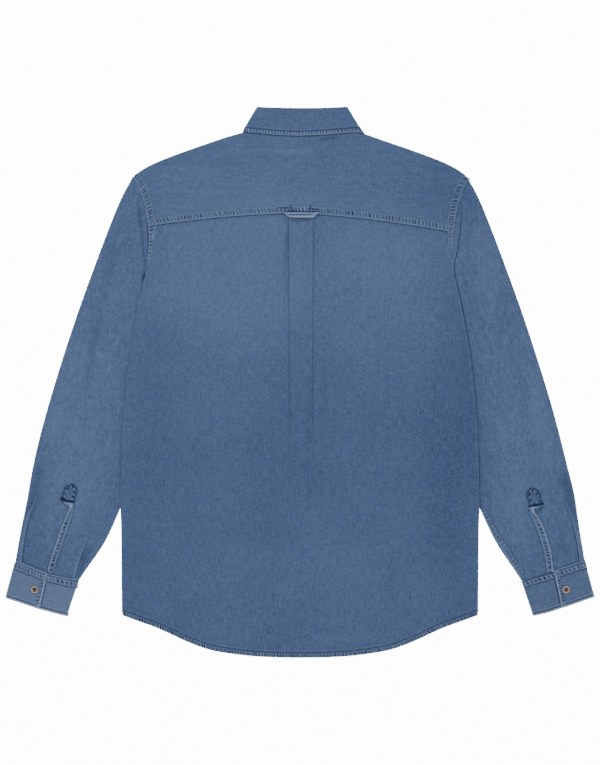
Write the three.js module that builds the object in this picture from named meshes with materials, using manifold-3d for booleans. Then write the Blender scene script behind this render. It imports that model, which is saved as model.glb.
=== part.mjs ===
// A denim shirt laid flat on its front, so that the back shows. Millimetres, +Z up.
// +X runs to the right sleeve, +Y to the collar, and the shirt rests on z = 0.
// Every piece of cloth is a closed wall: a grid of points in the middle of the cloth, given its thickness.
import * as THREE from 'three';
import { mergeVertices } from 'three/addons/utils/BufferGeometryUtils.js';
import Module from 'manifold-3d';

const wasm = await Module();
wasm.setup();

// Cloth and the levels at which its layers lie
const CLOTH = 1.0;
const SEAM_GAP = 0.3;
const STEP = CLOTH + SEAM_GAP;
const FOLD_RISE = 1.6;
const TABLE_LEVEL = CLOTH / 2;
const OVER_SLEEVE_LIFT = 2.95;
const OVER_COLLAR_LIFT = 2.1;
const BACK_LEVEL = 5.35;
const EDGE_REACH = 45;

// Body
const PLACKET_HALF = 18;
const BUTTON_EDGE_HALF = 15;
const BUTTON_LIFT = 2.1;
const OVERLAP_RISE = 1.42;
const RIDGE_REACH = 46;
const RIDGE_SLOPE = 24;
const RIDGE_HEM_END = -345;
const RIDGE_HEM_SLOPE = 40;
const OVERLAP_REACH = 40;
const OVERLAP_SLOPE = 14;
const SIDE_WRAP = 6;
const HEM_BOTTOM = -412;
const HEM_CORNER = { x: 267, y: -344 };
const FRONT_HEM_SHORTER = 4;
const YOKE_SEAM_MIDDLE = 253.5;
const YOKE_SEAM_END = 230.5;

// Neck and collar
const NECK_X = 4;
const NECK_HALF = 84;
const NECK_SIDE_Y = 376;
const NECK_BACK_DROP = 1.5;
const NECK_FRONT_DROP = 63;
const NECK_ROUNDNESS = 2.2;
const STAND_TOP_HALF = 65;
const STAND_TOP_Y = 407;
const STAND_TOP_DROP = 60;
const STAND_TOP_BOW = 2;
const STAND_LEVEL = TABLE_LEVEL + OVER_COLLAR_LIFT;
const STAND_BACK_LEVEL = STAND_LEVEL + STEP;
const LEAF_BACK_LEVEL = STAND_BACK_LEVEL + STEP;
const LEAF_FOLD_HALF = 67;
const LEAF_FRONT_FOLD_HALF = 64;
const LEAF_FOLD_Y = 412;
const LEAF_EDGE_HALF = 88.5;
const LEAF_SIDE_Y = 377;
const LEAF_TILT = 1.5;
const LEAF_BOW = 6.5;

// The front yoke seam, measured from the shoulder line down and inwards
const FRONT_YOKE_DEPTH = 38;
const FRONT_YOKE_IN_AT_NECK = 26;
const FRONT_YOKE_IN_AT_TIP = 14;

// Sleeve, placket and cuff
const CUFF_CLOTH = 1.6;
const CUFF_LAP_END = 51;
const CUFF_UNDERLAP_START = 22;
const PLEAT_RISE = 0.9;
const SLEEVE_PUFF = 1.2;

const BUTTON_RADIUS = 5.7;
const BUTTON_THICK = 1.8;
const FRONT_BUTTON_YS = [262, 167, 72, -23, -118, -213];

const DENIM = 0x4f6f96;
const DENIM_LIGHT = 0x587aa2;
const DENIM_WORN = 0x5e7ba0;
const BUTTON_BROWN = 0x6b5348;

// The shoulder line, from the neck out to the tip of the shoulder
const SHOULDER = [
  { x: 104, y: 370.5 },
  { x: 122, y: 364 },
  { x: 158, y: 352 },
  { x: 191, y: 340 },
  { x: 222, y: 328 },
  { x: 240, y: 318 },
  { x: 249, y: 310 },
];
const SHOULDER_TIP = SHOULDER[SHOULDER.length - 1];

// The back edge of the body: armhole down to the underarm fold, then the side fold
const BODY_EDGE = [
  { y: 310, x: 249 },
  { y: 297, x: 241.5 },
  { y: 283, x: 235.5 },
  { y: 266, x: 230.6 },
  { y: 250, x: 227.5 },
  { y: 230.5, x: 225.3 },
  { y: 214, x: 226 },
  { y: 196, x: 226.8 },
  { y: 181, x: 230 },
  { y: 159, x: 233 },
  { y: 136, x: 237.5 },
  { y: 101, x: 244.5 },
  { y: 70, x: 250.5 },
  { y: 35, x: 256 },
  { y: 4, x: 259.5 },
  { y: -55, x: 264.8 },
  { y: -116, x: 267.5 },
  { y: -187, x: 269 },
  { y: -196, x: 268 },
  { y: -344, x: 267 },
];
const UNDERARM_FOLD_TOP = 181;
const FLAP_TOP = 159;
const UNDERARM = { x: 190, y: 58 };

// The hidden side seam: how far in it lies on the underside
const SIDE_SEAM = [
  { y: 159, x: 227 },
  { y: 58, x: 190 },
  { y: -55, x: 240 },
  { y: -102, x: 255 },
  { y: -150, x: 261 },
  { y: -196, x: 268 - SIDE_WRAP },
  { y: -344, x: 267 - SIDE_WRAP },
];

const SLEEVE_OUTER_EDGE = [
  { x: 250, y: 309.5 },
  { x: 255, y: 303 },
  { x: 261.5, y: 292 },
  { x: 271.5, y: 268 },
  { x: 282, y: 244 },
  { x: 300, y: 196 },
  { x: 330.8, y: 112 },
  { x: 362.3, y: 16 },
  { x: 390, y: -80 },
  { x: 411, y: -176 },
  { x: 427, y: -269.1 },
];
const SLEEVE_INNER_EDGE = [
  { x: 190, y: 58 },
  { x: 212, y: -20 },
  { x: 239, y: -110 },
  { x: 268.5, y: -186 },
  { x: 294, y: -236 },
  { x: 331.8, y: -296.6 },
];
const SLEEVE_BACK_MOUTH = [
  { x: 250, y: 309.5 },
  { x: 242.5, y: 297 },
  { x: 236.4, y: 283 },
  { x: 231.4, y: 266 },
  { x: 228.3, y: 250 },
  { x: 226.1, y: 230.5 },
  { x: 226.8, y: 214 },
  { x: 227.6, y: 196 },
  { x: 230.6, y: 181 },
  { x: 233.4, y: 159 },
  { x: 213, y: 110 },
  { x: 190, y: 58 },
];
const SLEEVE_FRONT_MOUTH = [
  { x: 250, y: 309.5 },
  { x: 234, y: 268 },
  { x: 216, y: 215 },
  { x: 203, y: 150 },
  { x: 195, y: 100 },
  { x: 190, y: 58 },
];
const CUFF_TOP = { outer: { x: 427.5, y: -269.5 }, inner: { x: 332, y: -297 } };
const CUFF_BOTTOM = { outer: { x: 441.5, y: -321.5 }, inner: { x: 349.5, y: -349.5 } };

const HEM = [
  { x: 0, y: -412 },
  { x: 63, y: -410.5 },
  { x: 115, y: -404.5 },
  { x: 143, y: -398 },
  { x: 173, y: -386.5 },
  { x: 212, y: -368.5 },
  { x: 244, y: -356.5 },
  { x: 262, y: -350 },
  { x: 267, y: -344 },
];

// The box pleat from the yoke down: its half width, the length of cloth folded under,
// the angle through which each fold turns, and the height from the panel to the box
const PLEAT_CENTRE = 1.5;
const PLEAT_ROUND = STEP / 2;
const PLEAT = [
  { v: 0, half: 18, under: 15, turn: 180, rise: 2 * STEP },
  { v: 0.14, half: 17.6, under: 9, turn: 180, rise: 2 * STEP },
  { v: 0.27, half: 17, under: 0.4, turn: 180, rise: 2 * STEP },
  { v: 0.36, half: 16.5, under: 1.2, turn: 95, rise: 2.4 },
  { v: 0.48, half: 16, under: 2.4, turn: 42, rise: 1.7 },
  { v: 0.62, half: 15.5, under: 4, turn: 15, rise: 1.0 },
  { v: 0.78, half: 15, under: 5, turn: 4, rise: 0.25 },
  { v: 1, half: 15, under: 5, turn: 1, rise: 0.05 },
];

// The collar leaf's free edge, from the centre front round the point to the side
const LEAF_POINT = { x: 50, y: 283 };
const LEAF_FRONT_TOP = { x: 7, y: 350 };

// Sleeve placket: the head with its peak, then the strip beside the slit down to the cuff
const SLEEVE_PLACKET = [
  { outerX: 342.5, outerY: -150, innerX: 337.5, innerY: -151 },
  { outerX: 352.5, outerY: -154.5, innerX: 332, innerY: -160 },
  { outerX: 360, outerY: -176, innerX: 338, innerY: -181 },
  { outerX: 360.5, outerY: -178, innerX: 338.5, innerY: -183 },
  { outerX: 348.5, outerY: -185, innerX: 339.5, innerY: -188 },
  { outerX: 353, outerY: -200, innerX: 342, innerY: -202 },
  { outerX: 361, outerY: -224, innerX: 351, innerY: -228 },
  { outerX: 367, outerY: -243, innerX: 358, innerY: -247 },
  { outerX: 375, outerY: -264, innerX: 366, innerY: -268 },
  { outerX: 377.5, outerY: -279.5, innerX: 369, innerY: -282.5 },
];

const lerp = (a, b, t) => a + (b - a) * t;
const clamp01 = (t) => Math.min(1, Math.max(0, t));
const smooth = (t) => clamp01(t) ** 2 * (3 - 2 * clamp01(t));
const point = (x, y, z) => new THREE.Vector3(x, y, z);

// The value of one column of a table at a place along another, straight between the rows
function look(table, key, at, column) {
  const rising = table[table.length - 1][key] > table[0][key];
  let k = 0;
  while (k < table.length - 2 && (rising ? table[k + 1][key] < at : table[k + 1][key] > at)) {
    k += 1;
  }
  const [low, high] = [table[k], table[k + 1]];
  const t = clamp01((at - low[key]) / (high[key] - low[key]));
  return lerp(low[column], high[column], t);
}

const spline = (rows) => new THREE.SplineCurve(rows.map((row) => new THREE.Vector2(row.x, row.y)));
const bodyEdge = (y) => look(BODY_EDGE, 'y', y, 'x');
const sideSeam = (y) => look(SIDE_SEAM, 'y', y, 'x');

function distanceToSegment(x, y, a, b) {
  const along = new THREE.Vector2(b.x - a.x, b.y - a.y);
  const t = clamp01(((x - a.x) * along.x + (y - a.y) * along.y) / along.lengthSq());
  return Math.hypot(x - a.x - t * along.x, y - a.y - t * along.y);
}

// Distance from a place to a polygon, 0 inside it
function distanceToArea(x, y, polygon) {
  let inside = false;
  let nearest = Infinity;
  polygon.forEach((a, k) => {
    const b = polygon[(k + 1) % polygon.length];
    nearest = Math.min(nearest, distanceToSegment(x, y, a, b));
    const crosses = a.y > y !== b.y > y && x < a.x + ((y - a.y) * (b.x - a.x)) / (b.y - a.y);
    inside = crosses ? !inside : inside;
  });
  return inside ? 0 : nearest;
}

const distanceToLine = (x, y, rows) =>
  Math.min(...rows.slice(1).map((row, k) => distanceToSegment(x, y, rows[k], row)));

// The areas that lift what lies on them: the sleeve under the body, and the collar leaf under the fronts
const SLEEVE_AREA = [
  { x: 233, y: FLAP_TOP },
  ...SLEEVE_INNER_EDGE.slice(0, 4),
  { x: 420, y: -186 },
  { x: 420, y: FLAP_TOP },
];

function leafArea(side) {
  const shift = side * NECK_X;
  return [
    { x: LEAF_FRONT_TOP.x + shift, y: LEAF_FRONT_TOP.y },
    { x: LEAF_POINT.x + shift, y: LEAF_POINT.y },
    { x: LEAF_EDGE_HALF + shift, y: LEAF_SIDE_Y },
    { x: LEAF_FOLD_HALF + shift, y: LEAF_FOLD_Y },
  ];
}

// Within flat of an area cloth is fully lifted, and beyond reach not at all
const SLEEVE_RAMP = { flat: 18, reach: 44 };
const COLLAR_RAMP = { flat: 3, reach: 26 };
const lifted = (distance, { flat, reach }) => smooth((reach - distance) / (reach - flat));

// Level of the middle of the front cloth, at x measured out from the centre to one side
function frontLevel(side, x, y) {
  const overSleeve = OVER_SLEEVE_LIFT * lifted(distanceToArea(x, y, SLEEVE_AREA), SLEEVE_RAMP);
  const overCollar = OVER_COLLAR_LIFT * lifted(distanceToArea(x, y, leafArea(side)), COLLAR_RAMP);
  const towardHem = smooth((y - RIDGE_HEM_END) / RIDGE_HEM_SLOPE);
  const ridge = BUTTON_LIFT * towardHem * smooth((RIDGE_REACH - Math.abs(x)) / RIDGE_SLOPE);
  return TABLE_LEVEL + Math.max(overSleeve, overCollar, ridge);
}

// The right front lies on the left one where they overlap
function overlapLift(side, x) {
  return side > 0 ? OVERLAP_RISE * smooth((OVERLAP_REACH - x) / OVERLAP_SLOPE) : 0;
}

// Level of the lower cloth at the side fold, and of the armhole seam
const sideFoldLevel = (y) => frontLevel(1, sideSeam(y), y);
const armholeLevel = (y) => TABLE_LEVEL + FOLD_RISE + 0.3 * smooth((SHOULDER_TIP.y - y) / 120);

// Where the back rises from the underarm fold, and where it comes down to the collar
const UNDERARM_SLOPE = 17;
const NECK_RAMP_Y = 348;
const NECK_RAMP = 20;
const SHOULDER_FOLD_BACK = 10;

// Level of the middle of the back cloth and of the yoke
function backLevel(side, x, y) {
  const neckX = side * NECK_X;
  const shoulder = distanceToLine(x, y, [{ x: NECK_HALF + neckX, y: NECK_SIDE_Y }, ...SHOULDER]);
  const hem = distanceToLine(x, y, HEM);
  const sideways = Math.max(0, bodyEdge(y) - x);
  const underArm = smooth((UNDERARM_FOLD_TOP - y) / UNDERARM_SLOPE);
  const edgeLevel = lerp(armholeLevel(y), sideFoldLevel(y) + FOLD_RISE, underArm);
  const shoulderLevel = frontLevel(side, x, y - SHOULDER_FOLD_BACK) + FOLD_RISE;
  const hemLevel = TABLE_LEVEL + STEP;
  const upward = smooth((y - NECK_RAMP_Y) / NECK_RAMP);
  const neck = upward * smooth((NECK_HALF + NECK_RAMP - Math.abs(x - neckX)) / NECK_RAMP);
  const open = Math.min(
    lerp(edgeLevel, BACK_LEVEL, smooth(sideways / EDGE_REACH)),
    lerp(shoulderLevel, BACK_LEVEL, smooth(shoulder / EDGE_REACH)),
    lerp(hemLevel, BACK_LEVEL, smooth(hem / EDGE_REACH)),
  );
  const level = lerp(open, STAND_BACK_LEVEL, neck);
  if (Math.abs(x) >= RIDGE_REACH || y >= NECK_RAMP_Y || y <= HEM_BOTTOM) {
    return level;
  }
  return Math.max(level, frontLevel(side, x, y) + overlapLift(1, Math.abs(x)) + STEP);
}

// A closed wall from a grid of middle points. keep(row, column) leaves cells out,
// and wrap closes each row on itself, as in a sleeve.
function wall(name, grid, colour, { thickness = CLOTH, wrap = false, keep = () => true } = {}) {
  const rows = grid.length;
  const columns = grid[0].length;
  const cells = [];
  for (let i = 0; i < rows - 1; i += 1) {
    for (let j = 0; j < (wrap ? columns : columns - 1); j += 1) {
      if (keep(i, j)) {
        const next = (j + 1) % columns;
        cells.push([i * columns + j, i * columns + next, (i + 1) * columns + next, (i + 1) * columns + j]);
      }
    }
  }
  const middle = grid.flat();
  const normals = middle.map(() => new THREE.Vector3());
  const edges = new Map();
  for (const cell of cells) {
    const diagonal = middle[cell[2]].clone().sub(middle[cell[0]]);
    const other = middle[cell[3]].clone().sub(middle[cell[1]]);
    const facing = diagonal.cross(other).normalize();
    cell.forEach((corner, k) => {
      normals[corner].add(facing);
      const to = cell[(k + 1) % 4];
      const back = `${to} ${corner}`;
      if (!edges.delete(back)) {
        edges.set(`${corner} ${to}`, [corner, to]);
      }
    });
  }
  const slot = new Map();
  const positions = [];
  for (const corner of new Set(cells.flat())) {
    slot.set(corner, positions.length / 3);
    const half = normals[corner].normalize().multiplyScalar(thickness / 2);
    positions.push(...middle[corner].clone().add(half).toArray());
    positions.push(...middle[corner].clone().sub(half).toArray());
  }
  const upper = (corner) => slot.get(corner);
  const lower = (corner) => slot.get(corner) + 1;
  const index = [];
  const quad = (a, b, c, d) => index.push(a, b, c, a, c, d);
  for (const [a, b, c, d] of cells) {
    quad(upper(a), upper(b), upper(c), upper(d));
    quad(lower(d), lower(c), lower(b), lower(a));
  }
  for (const [a, b] of edges.values()) {
    quad(upper(b), upper(a), lower(a), lower(b));
  }
  return solid(name, positions, index, colour);
}

function solid(name, positions, index, colour) {
  const geometry = new THREE.BufferGeometry();
  geometry.setAttribute('position', new THREE.Float32BufferAttribute(positions, 3));
  geometry.setIndex(index);
  geometry.computeVertexNormals();
  const material = new THREE.MeshStandardMaterial({ color: colour, roughness: 0.9, metalness: 0 });
  const mesh = new THREE.Mesh(geometry, material);
  mesh.name = name;
  return mesh;
}

const shirt = new THREE.Group();
const nameOf = (side) => (side < 0 ? 'left' : 'right');

// A row is written for the right side, outwards; the left side is its mirror image
const placed = (side, x, y, z) => point(side * x, y, z);

const yokeSeam = (x) => lerp(YOKE_SEAM_MIDDLE, YOKE_SEAM_END, Math.abs(x / bodyEdge(YOKE_SEAM_END)) ** 1.6);
const hemAt = (x) => look(HEM, 'x', Math.min(Math.abs(x), HEM_CORNER.x), 'y');

// The rows of points, by the height at which they meet the side of the body
const ARMHOLE_YS = [YOKE_SEAM_END, 205, UNDERARM_FOLD_TOP, FLAP_TOP, 133, 104, 81];
const SIDE_YS = [UNDERARM.y, 24, -16, -57, -97, -137, -165, -186, -206, -232, -266, -301, -325, HEM_CORNER.y];
const BACK_ROWS = [...ARMHOLE_YS, ...SIDE_YS].map((y) => (YOKE_SEAM_END - y) / (YOKE_SEAM_END - HEM_CORNER.y));
const BACK_COLUMNS = [0.14, 0.25, 0.38, 0.52, 0.66, 0.78, 0.88, 0.95];
const CURL = [45, 0, -45];

// Half of the section of the box pleat, from the centre out: distance and height above the panel
function pleatSection(v) {
  const { half, under, turn, rise } = Object.fromEntries(
    ['half', 'under', 'turn', 'rise'].map((column) => [column, look(PLEAT, 'v', v, column)]),
  );
  const angle = THREE.MathUtils.degToRad(turn);
  const steps = [0, 0.33, 0.67, 1].map((t) => t * angle);
  const outer = steps.map((a) => ({
    x: PLEAT_ROUND * Math.sin(a),
    z: -PLEAT_ROUND * (1 - Math.cos(a)),
  }));
  const end = outer[outer.length - 1];
  const foot = { x: end.x + under * Math.cos(angle), z: end.z - under * Math.sin(angle) };
  const inner = steps.map((a) => ({
    x: foot.x + PLEAT_ROUND * (Math.sin(angle) - Math.sin(angle - a)),
    z: foot.z - PLEAT_ROUND * (Math.cos(angle - a) - Math.cos(angle)),
  }));
  const path = [...outer, ...inner];
  const drop = -path[path.length - 1].z;
  const start = half - PLEAT_ROUND;
  return [
    { x: 0, z: rise },
    { x: start / 2, z: rise },
    ...path.map((p) => ({ x: start + p.x, z: rise * (1 + p.z / Math.max(drop, 0.001)) })),
  ];
}

function backRow(v) {
  const edgeY = lerp(YOKE_SEAM_END, HEM_CORNER.y, v);
  const halfWidth = bodyEdge(edgeY);
  const section = pleatSection(v);
  const yAt = (x) => lerp(yokeSeam(x), hemAt(x), v);
  const half = (side) => {
    const panelAt = (x) => backLevel(side, x, yAt(x));
    const fold = section.map((p) => {
      const x = p.x + side * PLEAT_CENTRE;
      return placed(side, x, yAt(x), panelAt(x) + p.z);
    });
    const start = section[section.length - 1].x + side * PLEAT_CENTRE;
    const radius = FOLD_RISE / 2;
    const edge = halfWidth - radius;
    const flat = BACK_COLUMNS.map((c) => {
      const x = lerp(start, edge, c);
      return placed(side, x, yAt(x), panelAt(x));
    });
    const lower = sideFoldLevel(edgeY);
    const yEdge = yAt(edge);
    const topEdge = placed(side, edge, yEdge, panelAt(edge));
    const curl = CURL.map((degrees) => {
      const a = THREE.MathUtils.degToRad(degrees);
      return placed(side, edge + radius * Math.cos(a), yEdge, lower + radius * (1 + Math.sin(a)));
    });
    const seam = Math.min(sideSeam(yEdge), edge - 2) + SEAM_GAP / 2;
    const flap = [0, 0.5, 1].map((c) => placed(side, lerp(edge, seam, c), yEdge, lower));
    return [...fold, ...flat, topEdge, ...curl, ...flap];
  };
  const right = half(1);
  const left = half(-1).slice(1).reverse();
  return [...left, ...right];
}

function makeBack() {
  const grid = BACK_ROWS.map(backRow);
  const columns = grid[0].length;
  const wrapped = CURL.length + 3;
  const firstFlapRow = ARMHOLE_YS.indexOf(FLAP_TOP);
  const isWrapped = (j) => j < wrapped || j >= columns - 1 - wrapped;
  return wall('back', grid, DENIM, { keep: (i, j) => i >= firstFlapRow || !isWrapped(j) });
}

// Yoke: it runs over each shoulder to the front yoke seam
const YOKE_NECK_FOOT = 86;
const YOKE_ROWS = [0, 0.15, 0.35, 0.6, 0.8, 0.92, 1];
const YOKE_NECK_COLUMNS = [0, 0.22, 0.45, 0.7, 1];
const YOKE_SHOULDER_COLUMNS = [0.15, 0.35, 0.55, 0.75, 0.9, 1];
const YOKE_FRONT_ROWS = [0, 0.4, 0.75, 1];
const FOLD_INSET = 0.8;
const NECK_FOLLOW = 1 / 7;

const frontYokeIn = (q) => lerp(FRONT_YOKE_IN_AT_NECK, FRONT_YOKE_IN_AT_TIP, q);
const neckBackY = (t) => NECK_SIDE_Y - NECK_BACK_DROP * (1 - t * t);
const neckFrontY = (t) => NECK_SIDE_Y - NECK_FRONT_DROP * (1 - Math.min(1, Math.abs(t)) ** NECK_ROUNDNESS);
const shoulderLine = (side) => spline([{ x: NECK_HALF + side * NECK_X, y: NECK_SIDE_Y }, ...SHOULDER]);

// The yoke rises over the box pleat sewn into its seam
const PLEAT_BUMP = { halfWidth: 30, sideSlope: 12, top: 290, topSlope: 35 };

function yokeLevel(side, x, y) {
  const across = smooth((PLEAT_BUMP.halfWidth - Math.abs(x - side * PLEAT_CENTRE)) / PLEAT_BUMP.sideSlope);
  const along = smooth((PLEAT_BUMP.top - y) / PLEAT_BUMP.topSlope);
  return backLevel(side, x, y) + 2 * STEP * across * along;
}

function yokeColumn(side, foot, top, q) {
  const outward = q === null ? point(0, 1, 0) : shoulderNormal(side, q);
  const inset = q === null ? SEAM_GAP : FOLD_INSET;
  const end = { x: top.x - outward.x * inset, y: top.y - outward.y * inset };
  const rows = YOKE_ROWS.map((w) => {
    const y = lerp(foot.y, end.y, w);
    const straight = lerp(bodyEdge(YOKE_SEAM_END), SHOULDER_TIP.x, w);
    const curved = q === null ? 0 : (bodyEdge(y) - straight) * q ** 3 * (w < 1 ? 1 : 0);
    const x = lerp(foot.x, end.x, w) + curved;
    return placed(side, x, y, yokeLevel(side, x, y));
  });
  const upper = rows[rows.length - 1].z;
  const lower = frontLevel(side, end.x, end.y);
  const radius = (upper - lower) / 2;
  const curl = CURL.map((degrees) => {
    const a = THREE.MathUtils.degToRad(degrees);
    const out = FOLD_INSET * Math.cos(a);
    const z = lower + radius * (1 + Math.sin(a));
    return placed(side, end.x + out * outward.x, end.y + out * outward.y, z);
  });
  const share = q ?? 0;
  const seam = { x: end.x - frontYokeIn(share), y: end.y - FRONT_YOKE_DEPTH };
  const neckShare = Math.max(0, 1 - share / NECK_FOLLOW);
  const front = YOKE_FRONT_ROWS.map((w) => {
    const x = lerp(end.x, seam.x, w);
    const onNeck = neckFrontY((x - side * NECK_X) / NECK_HALF) - FOLD_INSET;
    const y = lerp(lerp(end.y, seam.y, w), onNeck, w > 0 ? neckShare : 0);
    return placed(side, x, y, frontLevel(side, x, y));
  });
  return [...rows, ...curl, ...front];
}

function shoulderNormal(side, q) {
  const tangent = shoulderLine(side).getTangentAt(q);
  return point(-tangent.y, tangent.x, 0);
}

function yokeHalf(side) {
  const neck = YOKE_NECK_COLUMNS.map((t) => {
    const foot = { x: YOKE_NECK_FOOT * t, y: yokeSeam(YOKE_NECK_FOOT * t) + SEAM_GAP };
    const top = { x: NECK_HALF * t + side * NECK_X, y: neckBackY(t) };
    return yokeColumn(side, foot, top, t === 1 ? 0 : null);
  });
  const shoulder = YOKE_SHOULDER_COLUMNS.map((q) => {
    const x = lerp(YOKE_NECK_FOOT, bodyEdge(YOKE_SEAM_END), q);
    const top = shoulderLine(side).getPointAt(q);
    return yokeColumn(side, { x, y: yokeSeam(x) + SEAM_GAP }, top, q);
  });
  return [...neck, ...shoulder];
}

function makeYoke() {
  const right = yokeHalf(1);
  const left = yokeHalf(-1).slice(1).reverse();
  const grid = [...left, ...right];
  const middle = left.length;
  const neckCells = YOKE_NECK_COLUMNS.length - 1;
  const overNeck = (i) => i >= middle - neckCells && i < middle + neckCells;
  return wall('yoke', grid, DENIM_LIGHT, { keep: (i, j) => j < YOKE_ROWS.length - 1 || !overNeck(i) });
}

// Fronts: four edges with the cloth spread between them
function patch(top, bottom, inner, outer) {
  return (c, r) => {
    const corner = (a, b) => (a === 0 ? inner(b) : outer(b));
    const mix = (key) =>
      lerp(top(c)[key], bottom(c)[key], r) +
      lerp(inner(r)[key], outer(r)[key], c) -
      lerp(
        lerp(corner(0, 0)[key], corner(0, 1)[key], r),
        lerp(corner(1, 0)[key], corner(1, 1)[key], r),
        c,
      );
    return { x: mix('x'), y: mix('y') };
  };
}

const FRONT_COLUMNS = [0, 0.06, 0.13, 0.2, 0.27, 0.36, 0.46, 0.56, 0.66, 0.74, 0.82, 0.89, 0.95, 1];
const ARMHOLE_SHARE = 0.36;
const NECK_SHARE = 0.32;
const FRONT_TOP_GAP = 1;
const sideShare = (y) => (UNDERARM.y - y) / (UNDERARM.y - HEM_CORNER.y);
const FRONT_ROWS = [
  ...[0, 0.05, 0.1, 0.15, 0.21, 0.27, 0.32],
  ...SIDE_YS.map((y) => ARMHOLE_SHARE + (1 - ARMHOLE_SHARE) * sideShare(y)),
];

function frontPatch(side) {
  const edgeX = side < 0 ? -PLACKET_HALF : -BUTTON_EDGE_HALF;
  const neckAt = (x) => neckFrontY((x - side * NECK_X) / NECK_HALF) - SEAM_GAP;
  const yokeSeamAt = (q) => {
    const p = shoulderLine(side).getPointAt(q);
    return { x: p.x - frontYokeIn(q) - FRONT_TOP_GAP, y: p.y - FRONT_YOKE_DEPTH - 2 * FOLD_INSET };
  };
  const top = (c) => {
    if (c < NECK_SHARE) {
      const x = lerp(edgeX, yokeSeamAt(0).x, c / NECK_SHARE);
      return { x, y: neckAt(x) - FRONT_TOP_GAP };
    }
    return yokeSeamAt((c - NECK_SHARE) / (1 - NECK_SHARE));
  };
  const mouth = spline(SLEEVE_FRONT_MOUTH.slice(1));
  const outer = (r) => {
    if (r < ARMHOLE_SHARE) {
      const p = mouth.getPointAt(r / ARMHOLE_SHARE);
      return { x: p.x - 2 * SEAM_GAP, y: p.y };
    }
    const y = lerp(UNDERARM.y, HEM_CORNER.y, (r - ARMHOLE_SHARE) / (1 - ARMHOLE_SHARE));
    return { x: sideSeam(y) - 2 * SEAM_GAP, y };
  };
  const bottom = (c) => {
    const x = lerp(edgeX, outer(1).x, c);
    return { x, y: hemAt(x) + FRONT_HEM_SHORTER * (1 - c) };
  };
  const inner = (r) => ({ x: edgeX, y: lerp(top(0).y, bottom(0).y, r) });
  return patch(top, bottom, inner, outer);
}

function makeFront(side) {
  const at = frontPatch(side);
  const grid = FRONT_ROWS.map((r) =>
    FRONT_COLUMNS.map((c) => {
      const { x, y } = at(c, r);
      return placed(side, x, y, frontLevel(side, x, y) + overlapLift(side, x));
    }),
  );
  return wall(`front_${nameOf(side)}`, grid, DENIM);
}

// Sleeve: a flattened tube between the armhole and the cuff, with the slit above the cuff
const SLEEVE_UPPER = [0.05, 0.1, 0.14, 0.3, 0.49, 0.512, 0.68, 0.82, 0.87, 0.9, 0.96];
const SLEEVE_LOWER = [0.85, 0.65, 0.4, 0.18];
const SLEEVE_ROWS = [
  ...[0, 0.05, 0.1, 0.17, 0.25, 0.33, 0.41, 0.49],
  ...[0.57, 0.64, 0.71, 0.78, 0.84, 0.9, 0.95, 1],
];
const SLIT_TOP = 0.78;
const SLIT_COLUMN = 5;
const SLEEVE_END_RISE = 1.5;

const outerEdge = spline(SLEEVE_OUTER_EDGE);
const innerEdge = spline(SLEEVE_INNER_EDGE);
const cuffEdge = (a) => {
  const [from, to] = [outerEdge.getPointAt(1), innerEdge.getPointAt(1)];
  return { x: lerp(from.x, to.x, a), y: lerp(from.y, to.y, a) };
};
const sleevePatch = (mouth) =>
  patch(
    (a) => mouth.getPointAt(a),
    cuffEdge,
    (v) => outerEdge.getPointAt(v),
    (v) => innerEdge.getPointAt(v),
  );
const sleeveUpper = sleevePatch(spline(SLEEVE_BACK_MOUTH));
const sleeveLower = sleevePatch(spline(SLEEVE_FRONT_MOUTH));

// Level of the sleeve's upper layer, a across it from the outer edge and v down to the cuff
function sleeveLevel(a, v) {
  const clearOfBody = smooth((v - 0.62) / 0.18);
  const besideBody = Math.min(1, a / 0.42);
  const upperPuff = SLEEVE_PUFF * Math.sin(Math.PI * besideBody) * smooth(v / 0.2) * (1 - clearOfBody);
  const lowerPuff = SLEEVE_PUFF * Math.sin(Math.PI * a) * clearOfBody;
  const inPleat = smooth((0.14 - a) / 0.04) + smooth((a - 0.87) / 0.03);
  const pleats = PLEAT_RISE * smooth((v - 0.7) / 0.2) * inPleat;
  const seam = SEAM_GAP * smooth(a / 0.5) * smooth((0.56 - a) / 0.06) * smooth((0.1 - v) / 0.1);
  const end = SLEEVE_END_RISE * smooth((v - 0.8) / 0.2);
  return TABLE_LEVEL + FOLD_RISE + upperPuff + lowerPuff + pleats + seam + end;
}

// The rounded edge of a flattened tube, from one level to another
function tubeEdge(side, edge, v, upper, turns, outwardSign) {
  const p = edge.getPointAt(v);
  const t = edge.getTangentAt(v);
  const out = { x: -outwardSign * t.y, y: outwardSign * t.x };
  const radius = (upper - TABLE_LEVEL) / 2;
  return turns.map((degrees) => {
    const a = THREE.MathUtils.degToRad(degrees);
    const back = FOLD_INSET * (1 - Math.cos(a));
    const z = TABLE_LEVEL + radius * (1 + Math.sin(a));
    return placed(side, p.x - out.x * back, p.y - out.y * back, z);
  });
}

function makeSleeve(side) {
  const grid = SLEEVE_ROWS.map((v) => {
    const upper = SLEEVE_UPPER.map((a) => {
      const { x, y } = sleeveUpper(a, v);
      return placed(side, x, y, sleeveLevel(a, v));
    });
    const inner = tubeEdge(side, innerEdge, v, sleeveLevel(1, v), [90, 45, 0, -45, -90], -1);
    const lower = SLEEVE_LOWER.map((a) => {
      const { x, y } = sleeveLower(a, v);
      return placed(side, x, y, TABLE_LEVEL);
    });
    const outer = tubeEdge(side, outerEdge, v, sleeveLevel(0, v), [-90, -45, 0, 45, 90], 1);
    return [...outer, ...upper, ...inner, ...lower];
  });
  const slit = CURL.length + 2 + SLIT_COLUMN - 1;
  const keep = (i, j) => j !== slit || SLEEVE_ROWS[i] < SLIT_TOP;
  return wall(`sleeve_${nameOf(side)}`, grid, DENIM_WORN, { wrap: true, keep });
}

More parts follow.
